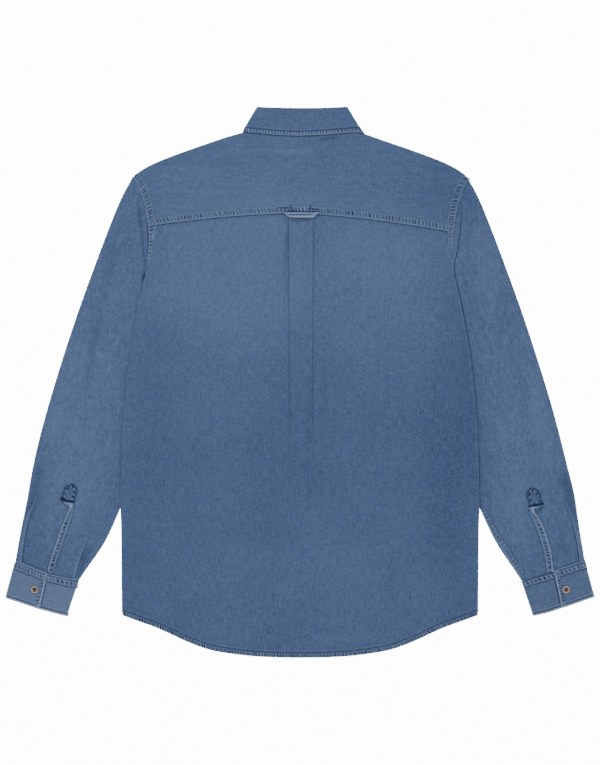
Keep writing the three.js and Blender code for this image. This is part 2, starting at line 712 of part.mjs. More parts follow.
// Where on the sleeve a place of the plan lies: a across it and v down it
function onSleeve(x, y) {
  let [a, v] = [0.5, 0.8];
  const nudge = 0.001;
  for (let round = 0; round < 12; round += 1) {
    const p = sleeveUpper(a, v);
    const [pa, pv] = [sleeveUpper(a + nudge, v), sleeveUpper(a, Math.min(1, v + nudge))];
    const [ax, ay, vx, vy] = [pa.x - p.x, pa.y - p.y, pv.x - p.x, pv.y - p.y];
    const scale = nudge / (ax * vy - ay * vx);
    a = clamp01(a + ((x - p.x) * vy - (y - p.y) * vx) * scale);
    v = Math.min(1 - nudge, Math.max(0, v + ((y - p.y) * ax - (x - p.x) * ay) * scale));
  }
  return { a, v };
}

function makeSleevePlacket(side) {
  const grid = SLEEVE_PLACKET.map((row) =>
    [0, 0.5, 1].map((c) => {
      const [x, y] = [lerp(row.outerX, row.innerX, c), lerp(row.outerY, row.innerY, c)];
      const { a, v } = onSleeve(x, y);
      return placed(side, x, y, sleeveLevel(a, v) + STEP);
    }),
  );
  return wall(`sleeve_placket_${nameOf(side)}`, grid, DENIM_WORN);
}

// Cuff: a band wound once round, its outer end lapped over the inner one
function makeCuff(side) {
  const low = CUFF_CLOTH / 2;
  const under = low + CUFF_CLOTH + SEAM_GAP;
  const lap = under + CUFF_CLOTH + SEAM_GAP;
  const { outer, inner } = CUFF_TOP;
  const width = Math.hypot(outer.x - inner.x, outer.y - inner.y);
  const turn = (edge, direction, from, to, angles) =>
    angles.map((degrees) => {
      const a = THREE.MathUtils.degToRad(degrees);
      return { u: edge - direction * (1 - Math.cos(a)), z: lerp(from, to, (1 + Math.sin(a)) / 2) };
    });
  const stations = [
    ...[CUFF_UNDERLAP_START, 40, 60, 80].map((u) => ({ u, z: under })),
    ...turn(width, 1, low, under, [90, 45, 0, -45, -90]),
    ...[75, 50, 25].map((u) => ({ u, z: low })),
    ...turn(0, -CUFF_CLOTH, low, lap, [-90, -45, 0, 45, 90]),
    ...[18, 35, CUFF_LAP_END].map((u) => ({ u, z: lap })),
  ];
  const grid = stations.map(({ u, z }) =>
    [0, 0.33, 0.67, 1].map((w) => {
      const along = (row, key) => lerp(row.outer[key], row.inner[key], u / width);
      const [x, y] = ['x', 'y'].map((key) => lerp(along(CUFF_TOP, key), along(CUFF_BOTTOM, key), w));
      return placed(side, x, y, z);
    }),
  );
  return wall(`cuff_${nameOf(side)}`, grid, DENIM_LIGHT, { thickness: CUFF_CLOTH });
}

// Collar: stations run round the neck from the left front end over the back to the right front end
function neckStations(firstT, lastT) {
  const front = [1, 0.97, 0.85, 0.73, 0.6, 0.45, 0.32, 0.2, 0.1].filter((t) => t > firstT + 0.01);
  const back = [-1, -0.85, -0.5, -0.2, 0.2, 0.5, 0.85, 1];
  return [
    ...[firstT, ...front.slice().reverse()].map((t) => ({ t: -t, turn: -90 })),
    ...CURL.slice().reverse().map((turn) => ({ t: -1, turn })),
    ...back.map((t) => ({ t, turn: 90 })),
    ...CURL.map((turn) => ({ t: 1, turn })),
    ...[...front, lastT].map((t) => ({ t, turn: -90 })),
  ];
}

const depthOfFront = (t) => 1 - Math.abs(t) ** NECK_ROUNDNESS;

function standStation({ t, turn }) {
  const angle = THREE.MathUtils.degToRad(turn);
  const out = Math.sign(t) * FOLD_INSET * (Math.cos(angle) - 1) * (Math.abs(t) === 1 ? 1 : 0);
  const share = (1 + Math.sin(angle)) / 2;
  const front = { low: NECK_FRONT_DROP * depthOfFront(t), high: STAND_TOP_DROP * depthOfFront(t) };
  const back = { low: NECK_BACK_DROP * depthOfFront(t), high: STAND_TOP_BOW * depthOfFront(t) };
  const lowY = NECK_SIDE_Y - lerp(front.low, back.low, share) + SEAM_GAP;
  const highY = STAND_TOP_Y - lerp(front.high, back.high, share);
  return {
    low: { x: NECK_X + NECK_HALF * t + out, y: lowY },
    high: { x: NECK_X + STAND_TOP_HALF * t + out, y: highY },
    z: lerp(STAND_LEVEL, STAND_BACK_LEVEL, share),
  };
}

function makeStand() {
  const firstT = (NECK_X - PLACKET_HALF) / NECK_HALF;
  const lastT = -(NECK_X + BUTTON_EDGE_HALF) / NECK_HALF;
  const stations = neckStations(firstT, lastT);
  const grid = stations.map((station, k) => {
    const { low, high, z } = standStation(station);
    const rightEnd = k > stations.length / 2 && station.turn === -90;
    const top = z + (rightEnd ? overlapLift(1, low.x) : 0);
    return [0, 0.35, 0.7, 1].map((w) => point(lerp(low.x, high.x, w), lerp(low.y, high.y, w), top));
  });
  return wall('collar_stand', grid, DENIM);
}

function makeLeaf() {
  const start = LEAF_FRONT_TOP.x / LEAF_FOLD_HALF;
  const grid = neckStations(start, start).map((station) => {
    const stand = standStation(station);
    const angle = THREE.MathUtils.degToRad(station.turn);
    const share = (1 + Math.sin(angle)) / 2;
    const { t } = station;
    const side = Math.sign(t);
    const round = Math.abs(t) === 1 ? side * 2 * FOLD_INSET * (Math.cos(angle) - 1) : 0;
    const fold = {
      x: NECK_X + lerp(LEAF_FRONT_FOLD_HALF, LEAF_FOLD_HALF, share) * t + round,
      y: LEAF_FOLD_Y - lerp(STAND_TOP_DROP, STAND_TOP_BOW, share) * depthOfFront(t),
    };
    const corner = { x: LEAF_EDGE_HALF, y: LEAF_SIDE_Y - LEAF_TILT * side };
    const down = (Math.abs(t) - start) / (1 - start);
    const frontX = side * lerp(LEAF_POINT.x, corner.x, down);
    const frontEdge = { x: frontX, y: lerp(LEAF_POINT.y, corner.y, down) };
    const backEdge = {
      x: LEAF_EDGE_HALF * t,
      y: LEAF_SIDE_Y - LEAF_TILT * t - LEAF_BOW * depthOfFront(t),
    };
    const edge = {
      x: NECK_X + round + lerp(frontEdge.x, backEdge.x, share),
      y: lerp(frontEdge.y, backEdge.y, share),
    };
    const outer = lerp(TABLE_LEVEL, LEAF_BACK_LEVEL, share);
    const reach = Math.hypot(fold.x - edge.x, fold.y - edge.y);
    const direction = { x: (fold.x - edge.x) / reach, y: (fold.y - edge.y) / reach };
    const from = (back) => ({ x: fold.x - direction.x * back, y: fold.y - direction.y * back });
    const flat = [reach, reach * 0.66, reach * 0.33, FOLD_INSET].map((back) => ({
      ...from(back),
      z: outer,
    }));
    const roll = [45, 0, -45, -90].map((degrees) => {
      const a = THREE.MathUtils.degToRad(degrees);
      const z = lerp(stand.z, outer, (1 + Math.sin(a)) / 2);
      return { ...from(FOLD_INSET * (1 - Math.cos(a))), z };
    });
    const clear = 1 / Math.hypot(fold.x - stand.high.x, fold.y - stand.high.y);
    const last = {
      x: lerp(stand.high.x, fold.x, clear),
      y: lerp(stand.high.y, fold.y, clear),
      z: stand.z,
    };
    return [...flat, ...roll, last].map((p) => point(p.x, p.y, p.z));
  });
  return wall('collar_leaf', grid, DENIM_LIGHT);
}

// Locker loop: a flat tape hanging from the yoke seam over the box pleat
const LOOP_WIDTH = 7;
const LOOP = [
  { x: -24, y: 256.5, onBox: 0.9 },
  { x: -22, y: 251.5, onBox: 0.95 },
  { x: -18, y: 247.8, onBox: 1 },
  { x: 0, y: 247, onBox: 1 },
  { x: 20, y: 247, onBox: 1 },
  { x: 25.5, y: 250.5, onBox: 0.75 },
  { x: 28.5, y: 255.5, onBox: 0.5 },
];

function makeLoop() {
  const grid = LOOP.map(({ x, y, onBox }, k) => {
    const before = LOOP[Math.max(0, k - 1)];
    const after = LOOP[Math.min(LOOP.length - 1, k + 1)];
    const along = new THREE.Vector2(after.x - before.x, after.y - before.y).normalize();
    const z = BACK_LEVEL + 2 * STEP * onBox + STEP;
    return [-LOOP_WIDTH / 2, LOOP_WIDTH / 2].map((c) => point(x - along.y * c, y + along.x * c, z));
  });
  return wall('locker_loop', grid, DENIM_WORN);
}

// Button: a shallow dish with a raised rim and four holes
const CUFF_BUTTON = { x: 398.4, y: -309 };
const STAND_BUTTON = { x: 1, y: 330 };
const BUTTON_SIDES = 12;
const HOLE_RADIUS = 0.75;
const HOLE_SPACING = 1.25;

function asManifold(geometry) {
  const vertProperties = new Float32Array(geometry.attributes.position.array);
  const triVerts = new Uint32Array(geometry.index.array);
  return new wasm.Manifold(new wasm.Mesh({ numProp: 3, vertProperties, triVerts }));
}

function buttonGeometry() {
  const profile = [
    [0, 0],
    [BUTTON_RADIUS * 0.8, 0],
    [BUTTON_RADIUS, 0.6],
    [BUTTON_RADIUS * 0.92, BUTTON_THICK],
    [BUTTON_RADIUS * 0.68, BUTTON_THICK * 0.7],
    [0, BUTTON_THICK * 0.7],
  ].map(([x, y]) => new THREE.Vector2(x, y));
  const plain = (geometry) => {
    geometry.deleteAttribute('normal');
    geometry.deleteAttribute('uv');
    return mergeVertices(geometry, 1e-3);
  };
  const dish = plain(new THREE.LatheGeometry(profile, BUTTON_SIDES));
  let body = asManifold(withoutSlivers(dish));
  for (const [dx, dy] of [[1, 1], [1, -1], [-1, 1], [-1, -1]]) {
    const hole = new THREE.CylinderGeometry(HOLE_RADIUS, HOLE_RADIUS, BUTTON_THICK * 2, 5);
    hole.translate(dx * HOLE_SPACING, BUTTON_THICK / 2, dy * HOLE_SPACING);
    body = body.subtract(asManifold(plain(hole)));
  }
  return body.getMesh();
}

function withoutSlivers(geometry) {
  const kept = [];
  const { array } = geometry.index;
  for (let k = 0; k < array.length; k += 3) {
    const [a, b, c] = array.slice(k, k + 3);
    if (a !== b && b !== c && c !== a) {
      kept.push(a, b, c);
    }
  }
  geometry.setIndex(kept);
  return geometry;
}

const buttonMesh = buttonGeometry();

function makeButton(name, x, y, z, faceUp) {
  const { vertProperties, triVerts } = buttonMesh;
  const mesh = solid(name, [...vertProperties], [...triVerts], BUTTON_BROWN);
  mesh.material.roughness = 0.45;
  mesh.rotation.x = faceUp ? Math.PI / 2 : -Math.PI / 2;
  mesh.position.set(x, y, faceUp ? z : z + BUTTON_THICK);
  return mesh;
}

shirt.add(makeBack(), makeYoke(), makeStand(), makeLeaf(), makeLoop());
for (const side of [-1, 1]) {
  shirt.add(makeFront(side), makeSleeve(side), makeSleevePlacket(side), makeCuff(side));
  const lapTop = 3 * CUFF_CLOTH + 3 * SEAM_GAP;
  const name = `cuff_button_${nameOf(side)}`;
  shirt.add(makeButton(name, side * CUFF_BUTTON.x, CUFF_BUTTON.y, lapTop, true));
}
FRONT_BUTTON_YS.forEach((y, k) => {
  shirt.add(makeButton(`front_button_${k + 1}`, 0, y, 0, false));
});
shirt.add(makeButton('stand_button', STAND_BUTTON.x, STAND_BUTTON.y, 0, false));

export default shirt;
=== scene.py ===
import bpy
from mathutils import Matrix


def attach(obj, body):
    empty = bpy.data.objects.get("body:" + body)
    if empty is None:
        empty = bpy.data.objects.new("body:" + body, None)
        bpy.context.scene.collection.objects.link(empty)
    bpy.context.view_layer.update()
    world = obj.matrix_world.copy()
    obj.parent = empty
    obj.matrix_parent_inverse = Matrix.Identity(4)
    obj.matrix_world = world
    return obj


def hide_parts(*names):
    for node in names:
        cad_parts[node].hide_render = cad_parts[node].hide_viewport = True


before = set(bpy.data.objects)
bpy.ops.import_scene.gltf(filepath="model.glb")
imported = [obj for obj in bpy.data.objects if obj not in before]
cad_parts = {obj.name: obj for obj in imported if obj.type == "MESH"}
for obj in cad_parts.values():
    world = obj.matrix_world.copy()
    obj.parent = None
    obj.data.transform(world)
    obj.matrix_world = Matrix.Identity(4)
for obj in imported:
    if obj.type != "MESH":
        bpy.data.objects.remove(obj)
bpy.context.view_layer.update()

import math
from typing import NamedTuple

import bmesh
import bpy
import numpy as np
from mathutils import Vector
from mathutils.bvhtree import BVHTree

bl_info = {
    "name": "Denim shirt laid flat",
    "version": (1, 0, 0),
    "blender": (4, 5, 0),
    "location": "3D View > Sidebar > Shirt",
    "description": "Dresses the shirt's panels with washed denim, seams, stitches and buttons",
    "category": "Object",
}

# Tables and sizes of the shirt are in millimetres, and meshes are in metres.
MM = 0.001
UP = 1
DOWN = -1
SIDES = {"left": -1, "right": 1}

# Body outline, for the right half
YOKE_SEAM_MIDDLE = 253.5
YOKE_SEAM_END = 230.5
YOKE_SEAM_HALF = 225
YOKE_SEAM_BOW = 1.6
YOKE_SEAM_TILT = -0.02
YOKE_SEAM_TILT_REACH = 50


def table(columns, *rows):
    """A table as one array for each named column."""
    return dict(zip(columns.split(), np.array(rows, float).T))


ARMHOLE = table(
    "x y",
    (248.5, 309.5), (241.5, 297), (235.5, 283), (230.6, 266), (227.5, 250),
    (225.3, 230.5), (225.2, 214), (226.8, 196), (229.6, 181), (231.5, 168),
)
HEM = table(
    "x y",
    (0, -412), (63, -410.5), (115, -404.5), (143, -398), (173, -386.5),
    (212, -368.5), (244, -356.8), (266.5, -348.5),
)
COLLAR_EDGE = [
    (-86, 376), (-65, 374.2), (-40, 371.5), (-2, 370),
    (36, 371.6), (62, 373.6), (82, 375.4), (95.5, 373.4),
]
# Directions of the edges that the hem and the collar's seam meet at their two ends
HEM_SIDES = ((0, 1), (0, 1))
COLLAR_SIDES = ((19.5, 34.5), (-21.5, 36.5))
UNDERARM_LINE = [(270, -190), (281, -212), (291, -230), (310.5, -260), (329, -288)]

# The line between body and sleeve below the armhole, and the sleeve's own folds beside it
SIDE_LINE = [
    (269, -187), (267.5, -116), (264.8, -55), (259.5, 4), (256, 35), (250.5, 70), (244.5, 101),
    (238.5, 131), (234.3, 146.5), (231.3, 160), (230.2, 171.5),
]
RIGHT_FOLD = [(231, 182), (234.3, 194.5), (236.7, 211.8), (239, 229), (240.3, 246), (241, 265)]
LEFT_FOLD = [
    (-246, 292), (-241, 266.5), (-236.5, 234.5), (-234.3, 208), (-231.8, 182), (-231.6, 162), (-233, 146),
]
YOKE_END_FOLD = [(-223, 190), (-220.5, 211), (-217, 231)]

# The slit above the cuff, and the placket that is sewn over it, for the right half
SLIT_LINE = [(349.5, -185), (361, -219), (372.5, -253), (380, -283)]
# How far each slit is moved inwards, and the slope of the sleeve's end that it is moved along
SLIT_SHIFT = {"left": 5.5, "right": 1.5}
CUFF_SLOPE = 0.42
PLACKET_EDGE = [
    (352, -179), (343.5, -182), (348, -187), (353, -200),
    (361, -224), (367, -243), (375, -264), (377.5, -279.5),
]
PLACKET_HEAD = [(338.5, -183), (360.5, -178), (352.5, -154.5), (342.5, -150), (337.5, -151), (332, -160)]
PLACKET_FOOT = -181.5
# Where each placket lies away from the plain form: its outer and its inner edge, outwards
PLACKET_SHIFT = {
    "left": table(
        "y outer inner",
        (-283, 0.5, 0), (-263, -2, -2), (-237, -1.2, -1), (-216, -1.3, -1), (-198, -3, -1),
        (-187, -5, 0), (-180, 0, 0)),
    "right": table(
        "y outer inner",
        (-283, 2, 1), (-267, 2.2, 2), (-246, 6, 5), (-228, 6.5, 6), (-211, 5, 5), (-199, 3.6, 4),
        (-186, 1, 4), (-178, 4.5, 5), (-150, 6, 6)),
}
# The move of each head, the reach of the foot over the cuff's seam, and the wear of bar and head
PLACKET_DROP = {"left": 0, "right": -6}
PLACKET_FOOT_REACH = 3.2
PLACKET_BAR_PALE = {"left": 0.35, "right": 0.1}
PLACKET_HEAD_DARK = 0.25

# Small moves of the sleeves' outline: place, reach, and moves outwards and up, for the right half
SLEEVE_NUDGES = {
    "left": [(424, -250, 40, -0.4, -0.2), (408, -180, 40, -1.8, 0), (300, -240, 38, -3.2, 0)],
    "right": [(410, -165, 34, 2, 0), (300, -240, 36, -2.2, 0)],
}

# Width and line of each pleat above the cuffs. The folded cloth is to the left of the line.
CUFF_PLEATS = {
    "left": [
        (6.5, [(-416.7, -269), (-414.2, -246), (-407, -206), (-395.4, -174), (-388.5, -146)]),
        (12, [(-338, -292), (-335, -283), (-326.6, -254.5), (-313.7, -222.5)]),
    ],
    "right": [(6.5, [(400.5, -181), (409, -211), (415, -240), (419, -267)])],
}


def lerp(a, b, t):
    return a + (b - a) * t


def smooth(t):
    t = np.clip(t, 0, 1)
    return t * t * (3 - 2 * t)


def bump(distance, width):
    """A soft bell over a distance, 1 in the middle."""
    return np.exp(-((distance / width) ** 2))


def yoke_seam(x):
    """Height of the yoke seam on the back, over the whole width."""
    share = np.clip(np.abs(x) / ARMHOLE["x"][5], 0, 1.2)
    return lerp(YOKE_SEAM_MIDDLE, YOKE_SEAM_END, share ** YOKE_SEAM_BOW) + YOKE_SEAM_TILT * x


# Creases


class Crease(NamedTuple):
    """A soft fold between two places: a ridge where its rise is above 0, a trough below."""

    x1: float
    y1: float
    x2: float
    y2: float
    width: float
    rise: float
    bow: float = 0
    # Tone below 0 darkens the trough, painted shade with dye kept in it; above 0 the ridge is paler from
    # wear
    tone: float = 0

    def depth(self, x, y):
        """How much of the crease there is at a place, from 0 to 1."""
        dx, dy = self.x2 - self.x1, self.y2 - self.y1
        length = math.hypot(dx, dy)
        along = ((x - self.x1) * dx + (y - self.y1) * dy) / length ** 2
        across = ((x - self.x1) * dy - (y - self.y1) * dx) / length
        across = across - self.bow * 4 * along * (1 - along)
        ends = smooth((along + 0.12) / 0.35) * smooth((1.12 - along) / 0.35)
        return ends * bump(across, self.width)


BACK_CREASES = [
    Crease(-17, 120, -19, -60, 5, 0.5, 2),
    Crease(14.5, 40, 12, -190, 4, -0.45, 1, -0.1),
    Crease(36, 26, 37, -54, 5, -0.5, 1, -0.1),
    Crease(-60, 225, -78, 30, 22, 0.5, 6),
    Crease(96, 220, 84, -10, 26, -0.5, -8),
    Crease(170, 200, 150, -80, 30, 0.6, 9),
    Crease(-165, 190, -150, -120, 32, 0.55, -10),
    Crease(-200, -60, -120, -210, 24, -0.5, 8),
    Crease(60, -130, 170, -240, 26, 0.5, -7),
    Crease(-90, -230, 40, -300, 28, -0.55, 9),
    Crease(190, -190, 120, -330, 22, -0.5, 5),
    Crease(-40, -60, -30, -330, 18, 0.4, 5),
    # Painted shade in a trough along the left fold of the box pleat
    Crease(-19.3, 240, -19.6, 130, 2.4, -0.4, 0, -0.3),
    # Painted shadow below the locker loop, in a slight dent
    Crease(-17, 244.4, 17, 244.4, 2.2, -0.3, 0, -1.1),
    # Painted shade where the back rounds down towards its folded right side
    Crease(228, 200, 262, -160, 14, -0.5, -9, -0.12),
]
YOKE_CREASES = [
    Crease(28, 364.6, 58, 368, 2.0, -0.6, 0, -0.4),
    Crease(0, 359, 66, 362, 3.2, -0.6, -2.5, -0.1),
    Crease(-66, 350, 20, 346, 4, 0.35, 2, 0.08),
    Crease(-150, 330, -40, 342, 9, -0.4, 4, -0.05),
    Crease(60, 345, 150, 325, 8, -0.35, -4, -0.05),
    Crease(-180, 290, -60, 300, 14, 0.45, 5),
    Crease(40, 300, 190, 285, 15, 0.4, -5),
    Crease(-110, 268, 20, 276, 11, -0.4, 4),
]
SLEEVE_CREASES = {
    "left": [
        Crease(-277, 222, -297, 118, 6, -0.7, -2, -0.16),
        Crease(-297, 118, -320, -32, 7, -0.7, 3, -0.16),
        # Painted shadow under the outer side of the left placket's head
        Crease(-352, -180, -347, -192, 3.5, -0.5, 0, -0.7),
        Crease(-250, 284, -256, 190, 7, -0.5, 2, -0.14),
        # Painted shade along the outer fold of the left sleeve
        Crease(-386, -112, -407, -206, 7, -0.6, 0, -0.36),
        # Painted shadow beside the inner pleat above the left cuff
        Crease(-333, -289, -319, -246, 5, -0.4, 0, -0.4),
        Crease(-340, 60, -372, -90, 16, 0.6, 5, 0.08),
        Crease(-300, -60, -330, -190, 15, 0.5, -6, 0.06),
        Crease(-310, -160, -318, -250, 9, -0.5, 2, -0.12),
        Crease(-272, -120, -300, -190, 10, -0.4, 3, -0.06),
    ],
    "right": [
        Crease(252, 282, 251, 200, 6, -0.5, -1, -0.14),
        Crease(270, 250, 292, 90, 14, 0.5, 4, 0.05),
        Crease(300, 120, 336, -60, 13, -0.5, -5, -0.08),
        Crease(350, 20, 376, -110, 14, 0.5, 4, 0.08),
        Crease(392, -128, 408, -206, 7, -0.7, 0, -0.38),
        Crease(296, -60, 330, -200, 15, 0.5, -5, 0.05),
        Crease(385, -190, 399, -258, 6, -0.4, 1, -0.1),
        # Painted shadow beside the right placket's head
        Crease(366, -183, 352, -192, 3.5, -0.5, 0, -0.6),
    ],
}
FRONT_CREASES = [
    Crease(-60, 180, -90, -60, 18, 0.5, 5),
    Crease(90, 200, 70, -90, 20, 0.5, -6),
    Crease(-170, 90, -120, -200, 22, 0.5, 8),
    Crease(160, 60, 190, -220, 20, 0.5, -7),
    Crease(-110, -180, -30, -340, 16, 0.45, 5),
    Crease(60, -200, 120, -350, 18, 0.45, 6),
]


# Mesh making


def finish_piece(piece, material, replaces=()):
    """Gives a piece its material and its place on the body."""
    piece.data.materials.clear()
    piece.data.materials.append(material)
    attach(piece, "root")
    if replaces:
        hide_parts(*replaces)
    return piece


def new_object(name, mesh):
    piece = bpy.data.objects.new(name, mesh)
    bpy.context.scene.collection.objects.link(piece)
    return piece


def merge_coplanar_triangles(bm):
    """Turns pairs of triangles back into the four-sided cells that the cloth was laid out in."""
    longest = {}
    for face in bm.faces:
        edge = max(face.edges, key=lambda e: e.calc_length())
        longest.setdefault(edge, []).append(face)
    diagonals = [
        edge for edge, faces in longest.items()
        if len(faces) == 2 and faces[0].normal.angle(faces[1].normal, 0) < math.radians(40)
    ]
    bmesh.ops.dissolve_edges(bm, edges=diagonals, use_verts=False)
    left = [face for face in bm.faces if len(face.verts) == 3]
    bmesh.ops.join_triangles(
        bm, faces=left, angle_face_threshold=math.radians(50), angle_shape_threshold=math.pi)


RIM_ANGLE = math.radians(60)
CORNER_ANGLE = math.radians(24)
# Painted shade on the steep edges of a panel's sheet
RIM_SHADE = -0.55


def keep_corners(bm, crease):
    """Holds the corners of the rims, which the smoothing would round off."""
    corner = bm.verts.layers.float.new("crease_vert")
    for vert in bm.verts:
        rims = [edge.other_vert(vert).co - vert.co for edge in vert.link_edges if edge[crease]]
        if len(rims) == 2 and rims[0].angle(-rims[1], 0) > CORNER_ANGLE:
            vert[corner] = 1


def panel(name, node, detail, shape=None, rim=RIM_SHADE):
    """A fine sheet on the form of a CAD panel.

    shape takes its points and normals, and gives back the points moved and their wear, light and
    shade. rim paints the sheet's steep edges: below 0 with painted shade, above 0 paler.
    """
    bm = bmesh.new()
    bm.from_mesh(bpy.data.objects[node].data)
    bmesh.ops.remove_doubles(bm, verts=bm.verts, dist=1e-6)
    merge_coplanar_triangles(bm)
    crease = bm.edges.layers.float.new("crease_edge")
    for edge in bm.edges:
        if len(edge.link_faces) == 2 and edge.calc_face_angle() > RIM_ANGLE:
            edge[crease] = 1
    keep_corners(bm, crease)
    coarse = bpy.data.meshes.new(name)
    bm.to_mesh(coarse)
    bm.free()
    piece = new_object(name, coarse)
    subdivision = piece.modifiers.new("fine", "SUBSURF")
    subdivision.levels = detail
    subdivision.render_levels = detail
    fine = bpy.data.meshes.new_from_object(
        piece.evaluated_get(bpy.context.evaluated_depsgraph_get()))
    piece.modifiers.clear()
    piece.data = fine
    bpy.data.meshes.remove(coarse)
    fine.name = name
    points, normals = read_vectors(fine, "co") / MM, read_vectors(fine, "normal")
    # Steep faces at the sheet's edges: painted shade where rim is below 0, paler where it is above 0
    wear_light_and_shade = rim * smooth((0.85 - np.abs(normals[:, 2])) / 0.5)
    if shape is not None:
        moved, extra = shape(points, normals)
        fine.vertices.foreach_set("co", (moved * MM).ravel())
        fine.update()
        wear_light_and_shade = wear_light_and_shade + extra
    set_wear_light_and_shade(fine, wear_light_and_shade)
    fine.shade_smooth()
    fine.set_sharp_from_angle(angle=RIM_ANGLE)
    return piece


def read_vectors(mesh, name):
    """A value of each of the mesh's points, a row each."""
    flat = np.empty(len(mesh.vertices) * 3)
    mesh.vertices.foreach_get(name, flat)
    return flat.reshape(-1, 3)


def set_wear_light_and_shade(mesh, wear_light_and_shade):
    """Wear of the dye at each point, with painted light and shade: above 0 paler, below 0 darker."""
    layer = mesh.attributes.new("wear_light_and_shade", "FLOAT", "POINT")
    layer.data.foreach_set("value", np.asarray(wear_light_and_shade, float).ravel())


class Surface:
    """The outside of some pieces, to lay seams and stitches on."""

    def __init__(self, pieces, facing=UP):
        self.facing = facing
        points, faces = [], []
        for piece in pieces:
            start = len(points)
            points += [v.co.copy() for v in piece.data.vertices]
            faces += [[start + k for k in p.vertices] for p in piece.data.polygons]
        self.tree = BVHTree.FromPolygons(points, faces)

    def height(self, x, y):
        """Height of the surface at one place, or not a number beside it."""
        start = Vector((x * MM, y * MM, self.facing * 0.1))
        hit = self.tree.ray_cast(start, Vector((0, 0, -self.facing)))[0]
        return hit.z / MM if hit is not None else math.nan

    def heights(self, x, y):
        """Heights over a grid of places; a place beside the surface takes the next one's inwards."""
        z = np.array([[self.height(a, b) for a, b in zip(*row)] for row in zip(x, y)])
        for k in range(z.shape[1] - 2, -1, -1):
            z[:, k] = np.where(np.isnan(z[:, k]), z[:, k + 1], z[:, k])
        for k in range(1, z.shape[1]):
            z[:, k] = np.where(np.isnan(z[:, k]), z[:, k - 1], z[:, k])
        whole = np.arange(len(z))
        for k in range(z.shape[1]):
            known = ~np.isnan(z[:, k])
            z[:, k] = np.interp(whole, whole[known], z[known, k])
        return z


def even_path(path, spacing):
    """Points at even steps along a path of corners, rounded between them by a spline."""
    corners = np.array(path, float)
    ends = np.vstack([2 * corners[0] - corners[1], corners, 2 * corners[-1] - corners[-2]])
    t = np.linspace(0, 1, 12, endpoint=False)[:, None]
    spans = []
    for a, b, c, d in zip(ends, ends[1:], ends[2:], ends[3:]):
        spans.append(0.5 * (2 * b + (c - a) * t + (2 * a - 5 * b + 4 * c - d) * t ** 2
                            + (3 * b - a - 3 * c + d) * t ** 3))
    curve = np.vstack([*spans, corners[-1:]])
    reach = np.concatenate([[0], np.cumsum(np.hypot(*np.diff(curve, axis=0).T))])
    steps = np.linspace(0, reach[-1], max(2, round(reach[-1] / spacing) + 1))
    return np.column_stack([np.interp(steps, reach, curve[:, k]) for k in range(2)]), steps


def path_distance(x, y, path):
    """The distance of each place from a path of straight lines, and how far along it is nearest."""
    nearest = np.full(len(x), np.inf)
    along = np.zeros(len(x))
    start = 0.0
    for (ax, ay), (bx, by) in zip(path, path[1:]):
        length = math.hypot(bx - ax, by - ay)
        share = np.clip(((x - ax) * (bx - ax) + (y - ay) * (by - ay)) / length ** 2, 0, 1)
        gap = np.hypot(x - lerp(ax, bx, share), y - lerp(ay, by, share))
        closer = gap < nearest
        nearest = np.where(closer, gap, nearest)
        along = np.where(closer, start + share * length, along)
        start += length
    return nearest, along


def normals_left(points):
    """For each point of a path, the direction to the left of it."""
    tangent = np.gradient(points, axis=0)
    tangent /= np.hypot(*tangent.T)[:, None]
    return np.column_stack([-tangent[:, 1], tangent[:, 0]])


def ripple(along, spacing, seed):
    """Uneven pulls along a seam, from -1 to 1."""
    rng = np.random.default_rng(seed)
    count = int(np.max(along) / spacing * 2.4) + 16
    knots = np.cumsum(spacing * rng.uniform(0.3, 0.7, count)) - spacing * 3
    pulls = rng.uniform(0.6, 1, count) * np.where(np.arange(count) % 2, 1, -1)
    return np.interp(along, knots, pulls)


class Seam(NamedTuple):
    """A kind of sewn or folded edge. Distances run in from its visible edge.

    lines are worn or dark lines along it: distance, thickness and wear. Dark lines below 0 are painted
    shadow under the folded edge, with dye kept under it; pale lines on the edge are wear with painted
    highlight. ladder is the stretch across which its stitches pull it into short ridges and hollows.
    """

    width: float
    height: float = 0.5
    rows: tuple = ()
    lines: tuple = ()
    ladder: tuple = ()
    spacing: float = 5.0
    pucker: float = 0.4
    pale: float = 0.4
    dark: float = 1.25
    outward: float = 0.0
    lip: float = 1.9
    slope: float = 1.6


# Dark lines below 0 lie under a seam's folded edge: painted shadow, with dye kept under the fold. Dark
# lines near a seam's inner edge are painted shade where it steps down onto the cloth. Pale lines on a
# folded edge are wear with painted highlight.
YOKE_SEAM = Seam(
    width=11.8, rows=(1.7, 9.4), ladder=(2.8, 8.4), spacing=5.0, pucker=0.5, pale=0.6, dark=1.7,
    lines=((-0.9, 0.75, -1.3), (1.2, 0.9, 0.6), (9.6, 0.8, 0.45), (11.2, 0.7, -0.4)))
ARMHOLE_SEAM = Seam(
    width=12.6, rows=(1.2, 10.6), ladder=(2.6, 9.0), spacing=4.8, pale=0.6, dark=1.6,
    lines=((-0.9, 0.7, -0.45), (1.0, 0.8, 0.7), (10.6, 0.8, 0.5), (12.2, 0.6, -0.3)))
ARMHOLE_OUTWARD = {"left": 2.2, "right": 6.0}
COLLAR_SEAM = Seam(
    width=10.0, rows=(1.3, 6.4), ladder=(1.6, 5.0), spacing=4.4, pale=1.25, dark=1.3, height=0.4,
    lines=((-1.0, 0.9, -1.2), (0.7, 0.8, 0.75), (6.4, 0.9, -1.1), (8.8, 0.8, 0.15)))
HEM_SEAM = Seam(
    width=10.4, height=0.35, rows=(6.2,), ladder=(0.6, 5.2), spacing=3.9, pale=1.0, dark=2.1,
    lip=0.4, lines=((0.1, 0.7, 0.4), (6.2, 0.7, 0.4), (7.8, 1.0, -0.95), (9.6, 0.6, 0.3)))
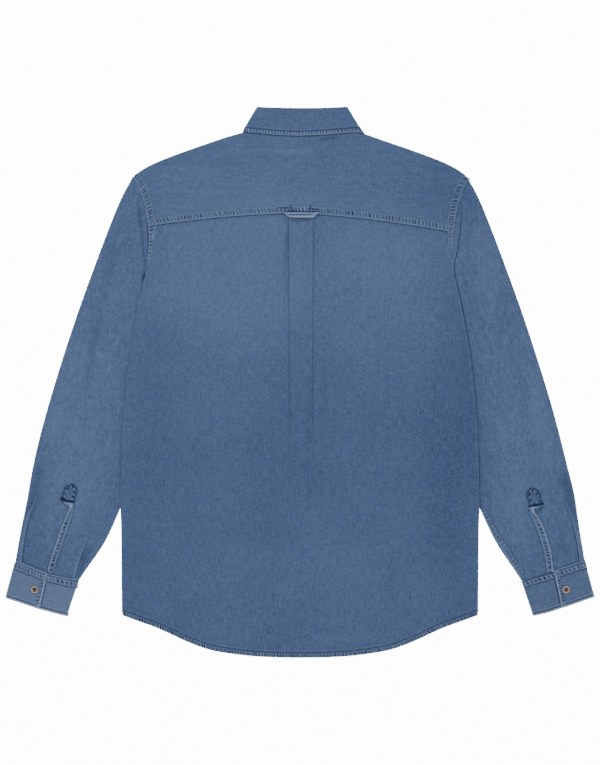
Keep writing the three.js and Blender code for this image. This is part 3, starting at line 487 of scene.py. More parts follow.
CUFF_TOP_SEAM = Seam(
    width=13.4, height=0.45, rows=(2.2, 10.2), ladder=(4.6, 9.2), spacing=6.4, pucker=0.35,
    pale=0.6, dark=1.5,
    lines=((-0.9, 0.7, -0.5), (0.6, 0.8, 0.6), (2.4, 0.8, -1.0), (4.0, 0.8, 0.35), (10.2, 0.8, 0.5),
           (11.9, 0.8, -0.9)))
CUFF_HEM_SEAM = Seam(
    width=7.4, height=0.4, rows=(5.2,), ladder=(0.6, 3.0), spacing=3.2, pucker=0.3, pale=1.2,
    dark=0.7, lip=0.4, lines=((0.9, 1.5, 1.3), (4.1, 0.7, -1.2), (5.7, 0.7, 0.8)))
CUFF_END_SEAM = Seam(
    width=9.4, height=0.4, rows=(3.0, 7.6), ladder=(2.4, 6.8), spacing=4.6, pucker=0.45,
    pale=0.7, dark=1.6, outward=0.4, lines=((-0.9, 0.8, -1.1), (1.2, 1.1, 1.2)))
PLACKET_SEAM = Seam(
    width=12.0, height=0.3, ladder=(2.6, 6.4), spacing=5.4, pucker=0.4, dark=1.6, pale=0.3,
    lines=((0.8, 0.9, 1.2), (8.0, 0.7, 0.45)))
PLACKET_HEAD_SEAM = Seam(
    width=14.0, height=0.3, ladder=(3.0, 6.6), spacing=7.0, pucker=0.5, pale=0.6, dark=2.0,
    lines=((0.3, 0.6, 0.4), (1.7, 0.8, -1.2)))
UNDERARM_SEAM = Seam(
    width=10.0, height=0.35, rows=(1.6, 7.2), ladder=(2.8, 6.4), spacing=5.6, pale=0.5, dark=1.1, lip=0.4,
    lines=((0.5, 0.8, 0.5), (7.2, 0.7, 0.5), (8.8, 0.8, -0.8)))
# Its dark line below 0 is painted shadow in the gap under the body's folded side, on the sleeve
SIDE_CREASE = Seam(
    width=4.0, height=0.2, slope=3.4, lip=2.4, lines=((-1.1, 0.8, -1.2), (0.8, 0.8, 0.1)))
SIDE_BLEND = Seam(width=3.0, height=0.05, slope=2.4, lip=5.0)
# Its dark line is painted shade along the left sleeve's fold beside the armhole
LEFT_FOLD_SEAM = Seam(width=5.0, height=0.2, slope=4.4, lip=5.0, lines=((-1.4, 2.8, -0.55),))
# Its pale line is a painted highlight along the ridge of the fold
YOKE_END_FOLD_SEAM = Seam(width=4.0, height=0.3, slope=3.4, lip=1.6, lines=((0.6, 0.9, 0.7),))
# Its dark line is painted shadow beside the pleat's folded edge; its pale edge line is wear with painted
# highlight
CUFF_PLEAT = Seam(
    width=12.0, height=0.8, slope=5.0, lip=2.2, lines=((-1.0, 0.9, -1.1), (0.7, 0.8, 0.5)))

# Cuffs, for the right half: the top edge and the lower edge out to the fold, with the lap between
CUFFS = {
    "left": {
        "top": [(425, -267.4), (402, -276.5), (378.5, -286)],
        "top_under": [(378.5, -286), (352.5, -292.3), (331, -296)],
        "hem": [(391.2, -339.2), (415, -331), (440.7, -322.7)],
        "hem_under": [(347.4, -350.6), (368, -345.5), (391.2, -339.2)],
        "end": [(378.5, -286), (391.2, -339.2)],
    },
    "right": {
        "top": [(427.5, -266.5), (405, -273), (380.4, -281.7)],
        "top_under": [(380.4, -281.7), (357, -288.3), (334.5, -295.5)],
        "hem": [(392.6, -337.7), (418, -329), (442, -320.5)],
        "hem_under": [(351.5, -349.3), (372, -344.5), (392.6, -337.7)],
        "end": [(380.4, -281.7), (392.6, -337.7)],
    },
}
CUFF_SEAMS = {
    "top": CUFF_TOP_SEAM,
    "top_under": CUFF_TOP_SEAM,
    "hem": CUFF_HEM_SEAM,
    "hem_under": CUFF_HEM_SEAM,
    "end": CUFF_END_SEAM,
}

# How far a seam's short ridges lean, and how far from its ends its strip turns to meet the edges
LEAN = 0.35
LEAN_REACH = 9
# Steps of a strip along and across the seam, and how it lies: sunk, lifted and set in from the edge
BAND_STEP = 1.1
BAND_SPACING = 0.75
BAND_DEPTH = 0.35
BAND_LIFT = 0.03
BAND_START = 0.15
SAMPLE_INSET = 0.9
# The lip reaches past a seam's folded edge, down onto the cloth beside it, and carries the painted shadow
# under the edge
LIP_SHARES = (-1, -0.7, -0.42, -0.15)
ROW_DENT = 0.15


def seam_relief(distance, along, seam, scale, seed):
    """Height over the cloth, and wear with painted light and shade, at a distance in from the seam's
    edge.
    """
    inner = seam.width * scale
    body = smooth((distance + 0.1) / 0.8) * smooth((inner - distance) / (seam.slope * scale))
    height = seam.height * body
    uneven = 0.75 + 0.25 * ripple(along, 9, seed + 2)
    wear_light_and_shade = 0 * height
    for at, thickness, strength in seam.lines:
        wear_light_and_shade = wear_light_and_shade + strength * bump(distance - at * (scale if at > 0 else 1), thickness) * uneven
    if seam.ladder:
        first, last = (place * scale for place in seam.ladder)
        inside = smooth((distance - first + 0.6) / 1.1) * smooth((last + 0.6 - distance) / 1.1)
        pull = ripple(along + LEAN * distance, seam.spacing, seed)
        strength = 0.8 + 0.3 * ripple(along, 6 * seam.spacing, seed + 1)
        height = height + seam.pucker * strength * pull * inside * body
        # Ridges of the puckers are paler from wear; their hollows are darker, from dye kept in them and
        # painted shade
        wear_light_and_shade = wear_light_and_shade + np.where(pull > 0, seam.pale * pull, seam.dark * pull) * strength * inside
    for row in seam.rows:
        height = height - ROW_DENT * bump(distance - row * scale, 0.5) * body
    return height, wear_light_and_shade


def lean_ends(inward, along, ends):
    """Turns a strip's ends so that they run beside the edges that they meet."""
    for toward, gap in zip(ends, (along, along[-1] - along)):
        if toward is not None:
            square = inward[np.argmin(gap)]
            beside = np.array(toward, float) / np.dot(toward, square)
            inward = lerp(beside, inward, smooth(gap / LEAN_REACH)[:, None])
    return inward


def seam_band(name, path, seam, surface, material, seed, narrow=None, fade=None, ends=(None, None)):
    """A strip of folded and sewn cloth laid on a surface. The cloth is to the left of the path.

    narrow and fade give, for a share of the way along, the strip's width and its strength.
    """
    points, along = even_path(path, BAND_STEP)
    inward = lean_ends(normals_left(points), along, ends)
    share = (along / along[-1])[:, None]
    scale = np.ones_like(share) if narrow is None else narrow(share)
    strength = np.ones_like(share) if fade is None else fade(share)
    columns = np.linspace(0, 1, round(seam.width / BAND_SPACING) + 2)[None, :]
    lip = np.array(LIP_SHARES)[None, :] * seam.lip * np.ones_like(share)
    distance = np.concatenate([lip, lerp(BAND_START, seam.width * scale, columns)], axis=1)
    from_path = distance - seam.outward * scale
    x = points[:, :1] + inward[:, :1] * from_path
    y = points[:, 1:] + inward[:, 1:] * from_path
    sample = np.where(distance < 0, from_path, np.maximum(from_path, SAMPLE_INSET))
    sample_x = points[:, :1] + inward[:, :1] * sample
    sample_y = points[:, 1:] + inward[:, 1:] * sample
    base = surface.heights(sample_x, sample_y)
    height, wear_light_and_shade = seam_relief(distance, along[:, None], seam, scale, seed)
    facing = surface.facing
    top = np.dstack([x, y, base + facing * (height * strength + BAND_LIFT)])
    bottom = np.dstack([x, y, base - facing * BAND_DEPTH])
    mesh = closed_strip(name, top, bottom, facing)
    wear_light_and_shade = wear_light_and_shade * strength
    set_wear_light_and_shade(mesh, np.concatenate([wear_light_and_shade.ravel(), np.minimum(wear_light_and_shade, 0).ravel()]))
    return finish_piece(new_object(name, mesh), material)


def sewn_edge(name, path, seam, surface, material, seed, sewn=None, **shape):
    """A seam band with its rows of stitches. sewn is the part of the path that shows them."""
    band = seam_band(name, path, seam, surface, material, seed, **shape)
    if seam.rows:
        on_band = Surface([band], surface.facing)
        rows = [(sewn or path, row - seam.outward) for row in seam.rows]
        stitches(f"{name}_stitches", rows, on_band)
    return band


def closed_strip(name, top, bottom, facing):
    """A closed mesh between two grids of points."""
    rows, columns = top.shape[:2]
    count = rows * columns
    index = np.arange(count).reshape(rows, columns)
    corners = [index[:-1, :-1], index[1:, :-1], index[1:, 1:], index[:-1, 1:]]
    quads = np.stack(corners, -1).reshape(-1, 4)
    lower = quads[:, [0, 3, 2, 1]] + count
    loop = np.concatenate([index[:-1, 0], index[-1, :-1], index[:0:-1, -1], index[0, :0:-1]])
    after = np.roll(loop, -1)
    sides = np.stack([after, loop, loop + count, after + count], -1)
    faces = np.vstack([quads, lower, sides])
    if facing == UP:
        faces = faces[:, ::-1]
    mesh = bpy.data.meshes.new(name)
    points = np.concatenate([top.reshape(-1, 3), bottom.reshape(-1, 3)]) * MM
    mesh.from_pydata(points.tolist(), [], faces.tolist())
    mesh.validate()
    bm = bmesh.new()
    bm.from_mesh(mesh)
    bmesh.ops.recalc_face_normals(bm, faces=bm.faces)
    bm.to_mesh(mesh)
    bm.free()
    mesh.shade_smooth()
    mesh.set_sharp_from_angle(angle=math.radians(70))
    return mesh


STITCH_FLATNESS = 0.75
STEEPEST_STITCH = 1.2


def stitch_shape():
    """One stitch: a short bar with pointed ends, along x, of length 1 and radius 1."""
    sides = 5
    points = [(-0.5, 0, -0.6)]
    for end in (-0.3, 0.3):
        for k in range(sides):
            a = 2 * math.pi * k / sides
            points.append((end, math.cos(a), math.sin(a)))
    points.append((0.5, 0, -0.6))
    faces = []
    for k in range(sides):
        after = (k + 1) % sides
        faces.append((0, 1 + after, 1 + k))
        faces.append((1 + k, 1 + after, 1 + sides + after, 1 + sides + k))
        faces.append((1 + 2 * sides, 1 + sides + k, 1 + sides + after))
    return np.array(points), faces


def stitches(name, rows, surface, pitch=None, turned=False, material="thread"):
    """Rows of stitches on a surface. Each row is a path and the distance to the left of it.

    A turned row has its stitches across it, close together, as a buttonhole or bartack has.
    """
    settings = bpy.context.scene.shirt_sewing
    pitch = pitch or settings.stitch_pitch / MM
    half = (settings.bar_width if turned else settings.stitch_length) / MM / 2
    radius = settings.stitch_width / MM / 2
    shape, shape_faces = stitch_shape()
    along = shape[:, 0] * 2 * half
    side = shape[:, 1] * radius
    rise = shape[:, 2] * radius * STITCH_FLATNESS
    turn = 1 if surface.facing == UP else -1
    points, faces = [], []
    for path, offset in rows:
        centres, _ = even_path(path, 1.0)
        if offset:
            centres = centres + normals_left(centres) * offset
        centres, _ = even_path(centres[::3], pitch)
        tangents = np.gradient(centres, axis=0)
        tangents /= np.hypot(*tangents.T)[:, None]
        for (cx, cy), (tx, ty) in zip(centres[1:-1], tangents[1:-1]):
            if turned:
                tx, ty = -ty, tx
            ends = [surface.height(cx + s * half * tx, cy + s * half * ty) for s in (-0.6, 0, 0.6)]
            slope = 0 if turned else (ends[2] - ends[0]) / (1.2 * half)
            if any(math.isnan(z) for z in ends) or abs(slope) > STEEPEST_STITCH:
                continue
            highest = max(surface.facing * ends[1], surface.facing * (ends[0] + ends[2]) / 2)
            level = surface.facing * (highest + 0.2 * radius)
            start = len(points)
            points += np.column_stack([
                cx + tx * along - ty * side,
                cy + ty * along + tx * side,
                level + slope * along + surface.facing * rise,
            ]).tolist()
            faces += [tuple(start + k for k in face)[::turn] for face in shape_faces]
    mesh = bpy.data.meshes.new(name)
    mesh.from_pydata((np.array(points) * MM).tolist(), [], faces)
    mesh.shade_smooth()
    return finish_piece(new_object(name, mesh), MATERIALS[material])


# Materials


class Value:
    """A number in a shader. Arithmetic on it adds Math nodes."""

    def __init__(self, shader, socket):
        self.shader = shader
        self.socket = socket

    def __add__(self, other):
        return self.shader.maths("ADD", self, other)

    def __sub__(self, other):
        return self.shader.maths("SUBTRACT", self, other)

    def __rsub__(self, other):
        return self.shader.maths("SUBTRACT", other, self)

    def __mul__(self, other):
        return self.shader.maths("MULTIPLY", self, other)

    def __truediv__(self, other):
        return self.shader.maths("DIVIDE", self, other)

    def __rtruediv__(self, other):
        return self.shader.maths("DIVIDE", other, self)

    def __pow__(self, other):
        return self.shader.maths("POWER", self, other)

    def clamped(self):
        return self.shader.maths("ADD", self, 0, clamp=True)

    __radd__ = __add__
    __rmul__ = __mul__


class Shader:
    """A material being made from nodes."""

    def __init__(self, name):
        self.material = bpy.data.materials.new(name)
        self.material.use_nodes = True
        self.tree = self.material.node_tree
        self.tree.nodes.clear()

    def node(self, kind, settings=None, inputs=None):
        """Adds a node. Its settings are set first, then its sockets' values or links."""
        node = self.tree.nodes.new(kind)
        for name, value in (settings or {}).items():
            setattr(node, name, value)
        for key, value in (inputs or {}).items():
            if isinstance(value, Value):
                value = value.socket
            if isinstance(value, bpy.types.NodeSocket):
                self.tree.links.new(value, node.inputs[key])
            else:
                node.inputs[key].default_value = value
        return node

    def maths(self, operation, a, b, clamp=False):
        node = self.node("ShaderNodeMath", {"operation": operation, "use_clamp": clamp}, {0: a, 1: b})
        return Value(self, node.outputs[0])

    def place(self):
        """Place on the shirt, in millimetres."""
        coordinates = self.node("ShaderNodeTexCoord").outputs["Object"]
        split = self.node("ShaderNodeSeparateXYZ", inputs={0: coordinates})
        return [Value(self, socket) / MM for socket in split.outputs]

    def noise(self, x, y, z=0.0, detail=2.0):
        at = self.node("ShaderNodeCombineXYZ", inputs={0: x, 1: y, 2: z}).outputs[0]
        node = self.node("ShaderNodeTexNoise", inputs={"Vector": at, "Scale": 1.0, "Detail": detail})
        return Value(self, node.outputs["Fac"])

    def attribute(self, name):
        return Value(self, self.node("ShaderNodeAttribute", {"attribute_name": name}).outputs["Fac"])

    def mix(self, factor, a, b):
        node = self.node("ShaderNodeMix", {"data_type": "RGBA"}, {0: factor, 6: a, 7: b})
        return node.outputs[2]

    def finish(self, shader_inputs):
        principled = self.node("ShaderNodeBsdfPrincipled", inputs=shader_inputs)
        self.node("ShaderNodeOutputMaterial", inputs={"Surface": principled.outputs[0]})
        return self.material


class FadeAndShade(NamedTuple):
    """A patch where the wash has taken more dye, or less where its strength is below 0; the one along the
    body's right side is painted shade.
    """

    x: float
    y: float
    width: float
    length: float
    strength: float


FADES_AND_SHADES = [
    FadeAndShade(0, 190, 240, 130, 0.18),
    FadeAndShade(-110, 150, 120, 160, 0.1),
    FadeAndShade(150, 110, 80, 120, 0.07),
    FadeAndShade(-330, -120, 60, 160, 0.2),
    FadeAndShade(-300, 60, 50, 130, 0.06),
    FadeAndShade(335, -130, 55, 150, 0.16),
    FadeAndShade(300, 60, 50, 120, 0.05),
    FadeAndShade(0, 40, 70, 260, -0.05),
    # Painted shade along the body's right side, where it rounds down to its folded edge
    FadeAndShade(230, -120, 50, 220, -0.16),
    FadeAndShade(-240, -60, 40, 240, -0.06),
    FadeAndShade(60, -300, 210, 110, 0.07),
    FadeAndShade(215, 300, 60, 60, -0.1),
]


def srgb(red, green, blue):
    """A colour given in 0 to 255, as the linear numbers that shaders take."""
    linear = [(c / 255 / 12.92) if c <= 10 else ((c / 255 + 0.055) / 1.055) ** 2.4
              for c in (red, green, blue)]
    return (*linear, 1.0)


def rgba(colour):
    return (*colour, 1.0)


def denim(name, grain, colours, lightness=0.0, streaks=1.0, wash=0.0):
    """Washed denim. grain is the angle of its long threads from the length of the shirt."""
    shader = Shader(name)
    x, y, _ = shader.place()
    cos, sin = math.cos(math.radians(grain)), math.sin(math.radians(grain))
    across = x * cos + y * sin
    along = y * cos - x * sin
    slubs = shader.noise(across / 1.1, along / 13, grain * 0.37, detail=1.0)
    threads = shader.noise(across / 0.75, along / 4, grain * 0.61 + 2, detail=0.0)
    bands = shader.noise(across / 5, along / 120, grain * 0.11 + 5, detail=1.0)
    weft = shader.noise(across / 7, along / 0.8, grain * 0.2 + 9, detail=0.0)
    fleck = shader.noise(across / 0.9, along / 1.1, 2.0, detail=1.0)
    patch = shader.noise(x / 9, y / 9, 7.0, detail=1.0)
    cloud = shader.noise(x / 80, y / 80, 3.0)
    shade = 0.52 + lightness + (slubs - 0.5) * (0.75 * streaks) + (threads - 0.5) * 0.6
    shade = shade + (bands - 0.5) * 0.14 + (weft - 0.5) * 0.4 + (fleck - 0.5) * 0.85
    shade = shade + (patch - 0.5) * 0.22 + (cloud - 0.5) * 0.24
    # Fades of the wash, and painted shade along the body's right side
    for fade in FADES_AND_SHADES:
        spread = ((x - fade.x) / fade.width) ** 2 + ((y - fade.y) / fade.length) ** 2
        shade = shade + fade.strength / (1 + spread * spread)
    cloth = shader.mix(shade.clamped(), rgba(colours.dark), rgba(colours.light))
    tint = shader.noise(x / 16, y / 16, 11.0)
    cloth = shader.mix(((tint - 0.55) * 1.4).clamped(), cloth, rgba(colours.violet))
    # Paler towards the worn colour from wash wear and painted highlight; darker towards the deep colour
    # from dye kept in hollows and painted shade
    wear_light_and_shade = shader.attribute("wear_light_and_shade") * (0.85 + (fleck - 0.5) * 0.9)
    cloth = shader.mix((wear_light_and_shade + wash).clamped(), cloth, rgba(colours.worn_and_highlight))
    cloth = shader.mix((wear_light_and_shade * -1).clamped(), cloth, rgba(colours.deep_dye_and_shade))
    twill = shader.noise((across + along * 0.9) / 0.55, (along - across) / 3.0, 1.0, detail=0.0)
    relief = shader.node("ShaderNodeBump", inputs={
        "Strength": 0.35, "Distance": 0.0004, "Height": twill * 0.5 + slubs * 0.6 + fleck * 0.4,
    })
    return shader.finish({
        "Base Color": cloth,
        "Normal": relief.outputs[0],
        "Roughness": 0.92,
        "Specular IOR Level": 0.15,
        "Sheen Weight": 0.12,
        "Sheen Roughness": 0.6,
    })


def thread(name, colour):
    """Sewing thread, twisted and a little uneven in its dye."""
    shader = Shader(name)
    x, y, z = shader.place()
    cloud = shader.noise(x / 1.5, y / 1.5, z / 1.5)
    tone = shader.mix(cloud, rgba(0.6 * c for c in colour), rgba(colour))
    ply = shader.noise((x + y) / 0.25, (x - y) / 0.8, 1.0)
    twist = shader.node("ShaderNodeBump", inputs={"Strength": 0.4, "Distance": 0.0002, "Height": ply})
    return shader.finish({
        "Base Color": tone,
        "Normal": twist.outputs[0],
        "Roughness": 0.75,
        "Specular IOR Level": 0.2,
    })


def button_material(name, colours):
    """Mottled button: a pale rim round a brown dish, and painted shade in its holes, at its rim's foot
    and on its edge.
    """
    shader = Shader(name)
    x, y, _ = shader.place()
    cloud = shader.noise(x / 2.2, y / 2.2, 4.0)
    grain = shader.noise(x / 0.5, y / 2.5, 6.0)
    wear_light_and_shade = shader.attribute("wear_light_and_shade")
    brown = shader.mix(cloud, rgba(0.75 * c for c in colours.button), rgba(colours.button))
    tone = shader.mix((wear_light_and_shade * (0.8 + (grain - 0.5) * 0.5)).clamped(), brown, rgba(colours.button_rim))
    # Painted shade in the holes, at the rim's foot and on the edge, where the attribute is below 0
    tone = shader.mix((wear_light_and_shade * -1).clamped(), tone, rgba(0.15 * c for c in colours.button))
    rough = 0.32 + grain * 0.2
    return shader.finish({"Base Color": tone, "Roughness": rough, "Specular IOR Level": 0.5})


SLEEVE_GRAIN = 17

MATERIALS = {}


def make_materials(colours):
    MATERIALS.update(
        body=denim("denim body", 0, colours),
        crosswise=denim("denim crosswise", 90, colours, 0.04, streaks=0.75),
        sleeve_left=denim("denim left sleeve", -SLEEVE_GRAIN, colours, 0.02),
        sleeve_right=denim("denim right sleeve", SLEEVE_GRAIN, colours, 0.02),
        cuff_left=denim("denim left cuff", 90 - SLEEVE_GRAIN, colours, 0.06, streaks=0.75, wash=0.16),
        cuff_right=denim("denim right cuff", 90 + SLEEVE_GRAIN, colours, -0.08, streaks=0.75, wash=0.08),
        tape=denim("denim tape", 90, colours, 0.1, streaks=0.5, wash=0.28),
        thread=thread("sewing thread", colours.thread),
        bar_thread=thread("bartack thread", colours.bar_thread),
        button=button_material("button", colours),
    )


# Settings


def length(name, description, default):
    return bpy.props.FloatProperty(name=name, description=description, default=default, unit="LENGTH")


def colour(name, description, *default):
    return bpy.props.FloatVectorProperty(
        name=name, description=description, default=srgb(*default)[:3], subtype="COLOR", min=0, max=1)


class SewingSettings(bpy.types.PropertyGroup):
    bar_width: length("Bar width", "Length of the stitches across a bartack or buttonhole", 1.9 * MM)
    stitch_pitch: length("Stitch pitch", "Distance from one stitch to the next", 3.1 * MM)
    stitch_length: length("Stitch length", "Length of one stitch", 2.4 * MM)
    stitch_width: length("Stitch width", "Thickness of the thread", 0.55 * MM)


class DenimColours(bpy.types.PropertyGroup):
    # Deep is dye kept in hollows, and also painted shade on rims, in crease troughs and under folded
    # edges
    deep_dye_and_shade: colour("Deep", "Dye left in the hollows of a seam", 14, 28, 64)
    dark: colour("Dark", "Darkest threads of the cloth", 42, 59, 101)
    light: colour("Light", "Palest threads of the cloth", 99, 123, 162)
    violet: colour("Violet", "Patches where the dye has a redder blue", 74, 90, 150)
    # Worn is wash wear, and also painted highlight on folded edges and on the ridge of a fold
    worn_and_highlight: colour("Worn", "Ridges and edges that the wash has bleached", 158, 176, 204)
    thread: colour("Thread", "Sewing thread", 78, 102, 140)
    bar_thread: colour("Bartack thread", "Thread of bartacks and buttonholes", 36, 50, 88)
    button: colour("Button", "Middle of a button", 106, 72, 56)
    button_rim: colour("Button rim", "Rim of a button", 192, 182, 172)


class StudioSettings(bpy.types.PropertyGroup):
    camera_height: length("Camera height", "Height of the camera over the shirt", 3.0)
    view_height: length("View height", "Height of the picture on the floor", 1.1475)
    floor: colour("Floor", "Pale floor", 250, 250, 249)
    floor_glow: bpy.props.FloatProperty(
        name="Floor glow", description="Light that comes from the floor", default=13.0)
    light: bpy.props.FloatProperty(name="Light", description="Strength of the soft lights", default=1.0)


# Pieces


def tilt_seam(points):
    """Follows the slight tilt of the yoke seam."""
    x, y = points[:, 0], points[:, 1]
    share = np.clip(np.abs(x) / YOKE_SEAM_HALF, 0, 1.2)
    level = lerp(YOKE_SEAM_MIDDLE, YOKE_SEAM_END, share ** YOKE_SEAM_BOW)
    above = points[:, 2] > 3
    return YOKE_SEAM_TILT * x * bump(y - level, YOKE_SEAM_TILT_REACH) * above


def creased(creases, tilted=False):
    """A shape that raises the upper layer of a panel along its creases, and gives them their tone:
    painted shade in the troughs, paler ridges from wear.
    """

    def shape(points, normals):
        moved = points.copy()
        if tilted:
            moved[:, 1] += tilt_seam(points)
        x, y = points[:, 0], points[:, 1]
        upper = smooth((points[:, 2] - 2.4) / 1.2) * (normals[:, 2] > 0.1)
        moved[:, 2] += upper * sum(crease.rise * crease.depth(x, y) for crease in creases)
        return moved, upper * sum(crease.tone * crease.depth(x, y) for crease in creases)

    return shape


def creased_under(creases):
    """A shape that hollows the side of a panel that lies on the table."""

    def shape(points, normals):
        moved = points.copy()
        lower = (normals[:, 2] < -0.5) * (points[:, 2] < 1.5)
        moved[:, 2] += lower * sum(crease.rise * crease.depth(*points[:, :2].T) for crease in creases)
        return moved, np.zeros(len(points))

    return shape


class SHIRT_OT_back(bpy.types.Operator):
    """Makes the back panel with its box pleat"""

    bl_idname = "shirt.back"
    bl_label = "Back"

    def execute(self, context):
        back = panel("back_panel", "back", 2, creased(BACK_CREASES, tilted=True))
        finish_piece(back, MATERIALS["body"], ["back"])
        return {"FINISHED"}


class SHIRT_OT_yoke(bpy.types.Operator):
    """Makes the yoke, which runs over both shoulders"""

    bl_idname = "shirt.yoke"
    bl_label = "Yoke"

    def execute(self, context):
        yoke = panel("yoke_panel", "yoke", 3, creased(YOKE_CREASES, tilted=True))
        finish_piece(yoke, MATERIALS["crosswise"], ["yoke"])
        return {"FINISHED"}


class SHIRT_OT_fronts(bpy.types.Operator):
    """Makes the two fronts"""

    bl_idname = "shirt.fronts"
    bl_label = "Fronts"

    def execute(self, context):
        for side in SIDES:
            node = f"front_{side}"
            front = panel(f"{node}_panel", node, 2, creased_under(FRONT_CREASES))
            finish_piece(front, MATERIALS["body"], [node])
        return {"FINISHED"}


def sleeve_shape(side):
    """A sleeve's creases, and its slit moved under the placket."""
    sign = SIDES[side]
    crease = creased(SLEEVE_CREASES[side])

    def shape(points, normals):
        moved, wear_light_and_shade = crease(points, normals)
        upper = points[:, 2] > 2.4
        near, _ = path_distance(sign * points[:, 0], points[:, 1], SLIT_LINE)
        shift = SLIT_SHIFT[side] * bump(near, 14) * upper
        moved[:, 0] -= sign * shift
        moved[:, 1] -= CUFF_SLOPE * shift
        for x, y, reach, outwards, up in SLEEVE_NUDGES[side]:
            near = bump(np.hypot(sign * points[:, 0] - x, points[:, 1] - y), reach)
            moved[:, 0] += sign * outwards * near
            moved[:, 1] += up * near
        return moved, wear_light_and_shade

    return shape


def placket_shape(side):
    """The box at the placket's head, and the puckered strip below it."""
    sign = SIDES[side]
    seed = 60 + sign
    shift = PLACKET_SHIFT[side]

    def shape(points, normals):
        x, y = sign * points[:, 0], points[:, 1]
        from_edge, along = path_distance(x, y, PLACKET_EDGE)
        strip = seam_relief(from_edge, along, PLACKET_SEAM, 1, seed)
        outline = [*PLACKET_HEAD, PLACKET_HEAD[0]]
        head = seam_relief(*path_distance(x, y, outline), PLACKET_HEAD_SEAM, 1, seed + 5)
        below_bar = np.interp(x, (336, 361), (-179.5, -174)) - y
        bar = PLACKET_BAR_PALE[side] * bump(below_bar - 2.1, 0.8) - 1.6 * bump(below_bar, 1.1)
        in_head = smooth((y - PLACKET_FOOT) / 3)
        upper = normals[:, 2] > 0.3
        moved = points.copy()
        moved[:, 2] += lerp(strip[0], head[0] + 0.2 * np.maximum(bar, 0), in_head) * upper
        outer, inner = (np.interp(y, shift["y"], shift[edge]) for edge in ("outer", "inner"))
        moved[:, 0] += sign * lerp(outer, inner, np.clip(from_edge / 9, 0, 1))
        moved[:, 1] += PLACKET_DROP[side] * smooth((y + 206) / 22)
        moved[:, 1] -= PLACKET_FOOT_REACH * smooth((-268 - y) / 12)
        return moved, lerp(strip[1], head[1] - PLACKET_HEAD_DARK + bar, in_head) * upper

    return shape


class SHIRT_OT_sleeves(bpy.types.Operator):
    """Makes the two sleeves, flattened tubes with a slit above the cuff"""

    bl_idname = "shirt.sleeves"
    bl_label = "Sleeves"

    def execute(self, context):
        for side in SIDES:
            node = f"sleeve_{side}"
            sleeve = panel(f"{node}_panel", node, 2, sleeve_shape(side))
            finish_piece(sleeve, MATERIALS[node], [node])
        return {"FINISHED"}


class SHIRT_OT_sleeve_plackets(bpy.types.Operator):
    """Makes the pointed strips beside the sleeve slits"""

    bl_idname = "shirt.sleeve_plackets"
    bl_label = "Sleeve plackets"

    def execute(self, context):
        for side in SIDES:
            node = f"sleeve_placket_{side}"
            strip = panel(f"{node}_strip", node, 5, placket_shape(side))
            finish_piece(strip, MATERIALS[f"sleeve_{side}"], [node])
        return {"FINISHED"}


class SHIRT_OT_cuffs(bpy.types.Operator):
    """Makes the two cuffs, bands whose ends overlap"""

    bl_idname = "shirt.cuffs"
    bl_label = "Cuffs"

    def execute(self, context):
        for side in SIDES:
            node = f"cuff_{side}"
            cuff = panel(f"{node}_band", node, 3, rim=0.2)
            finish_piece(cuff, MATERIALS[node], [node])
        return {"FINISHED"}


def collar_shape(points, normals):
    """The leaf's fold rises a little, and its right point reaches lower."""
    moved = points.copy()
    x, y = points[:, 0], points[:, 1]
    up = smooth((y - 372) / 40)
    right = smooth((x + 85) / 175)
    moved[:, 0] += lerp(lerp(-1.5, 1.5, right), lerp(-2.4, 1.0, right), up)
    moved[:, 1] += 1.3 * up + 1.0 * bump(x - 60, 25) * (1 - up) - 1.2 * (1 - right) * (1 - up)
    point = bump(np.hypot(x - 92, y - 375), 9)
    moved[:, 0] += 2.6 * point
    moved[:, 1] -= 2.4 * point
    return moved, 0 * x


def loop_shape(points, normals):
    """The tape is drawn up close under the seam."""
    moved = points.copy()
    moved[:, 1] = np.interp(points[:, 1], (243.5, 248.6, 257.8), (246.4, 254.0, 255.6))
    edges = 0.6 * bump(moved[:, 1] - 248.4, 1.2) + 0.45 * bump(moved[:, 1] - 253.4, 0.7)
    middle = 0.9 * bump(moved[:, 1] - 251.2, 0.7) * (np.abs(points[:, 0]) < 17)
    return moved, (edges - middle) * (normals[:, 2] > 0.3)


class SHIRT_OT_collar(bpy.types.Operator):
    """Makes the collar stand and the collar leaf that is turned down over it"""

    bl_idname = "shirt.collar"
    bl_label = "Collar"

    def execute(self, context):
        stand = panel("collar_stand_band", "collar_stand", 2)
        finish_piece(stand, MATERIALS["crosswise"], ["collar_stand"])
        leaf = panel("collar_leaf_panel", "collar_leaf", 3, collar_shape)
        finish_piece(leaf, MATERIALS["crosswise"], ["collar_leaf"])
        return {"FINISHED"}


class SHIRT_OT_locker_loop(bpy.types.Operator):
    """Makes the tape loop at the middle of the yoke seam"""

    bl_idname = "shirt.locker_loop"
    bl_label = "Locker loop"

    def execute(self, context):
        loop = panel("locker_loop_tape", "locker_loop", 4, loop_shape)
        finish_piece(loop, MATERIALS["tape"], ["locker_loop"])
        return {"FINISHED"}


BODY_TOP = ("back_panel", "yoke_panel", "sleeve_left_panel", "sleeve_right_panel")


def mirrored(path):
    """The same path on the left half, run the other way so that the cloth stays on its left."""
    return [(-x, y) for x, y in path][::-1]


def piece(name):
    return bpy.data.objects[name]


def narrow_below_yoke(share):
    """The armhole seam narrows below the yoke. share runs up from the underarm."""
    return 0.5 + 0.5 * smooth((share - 0.36) / 0.1)


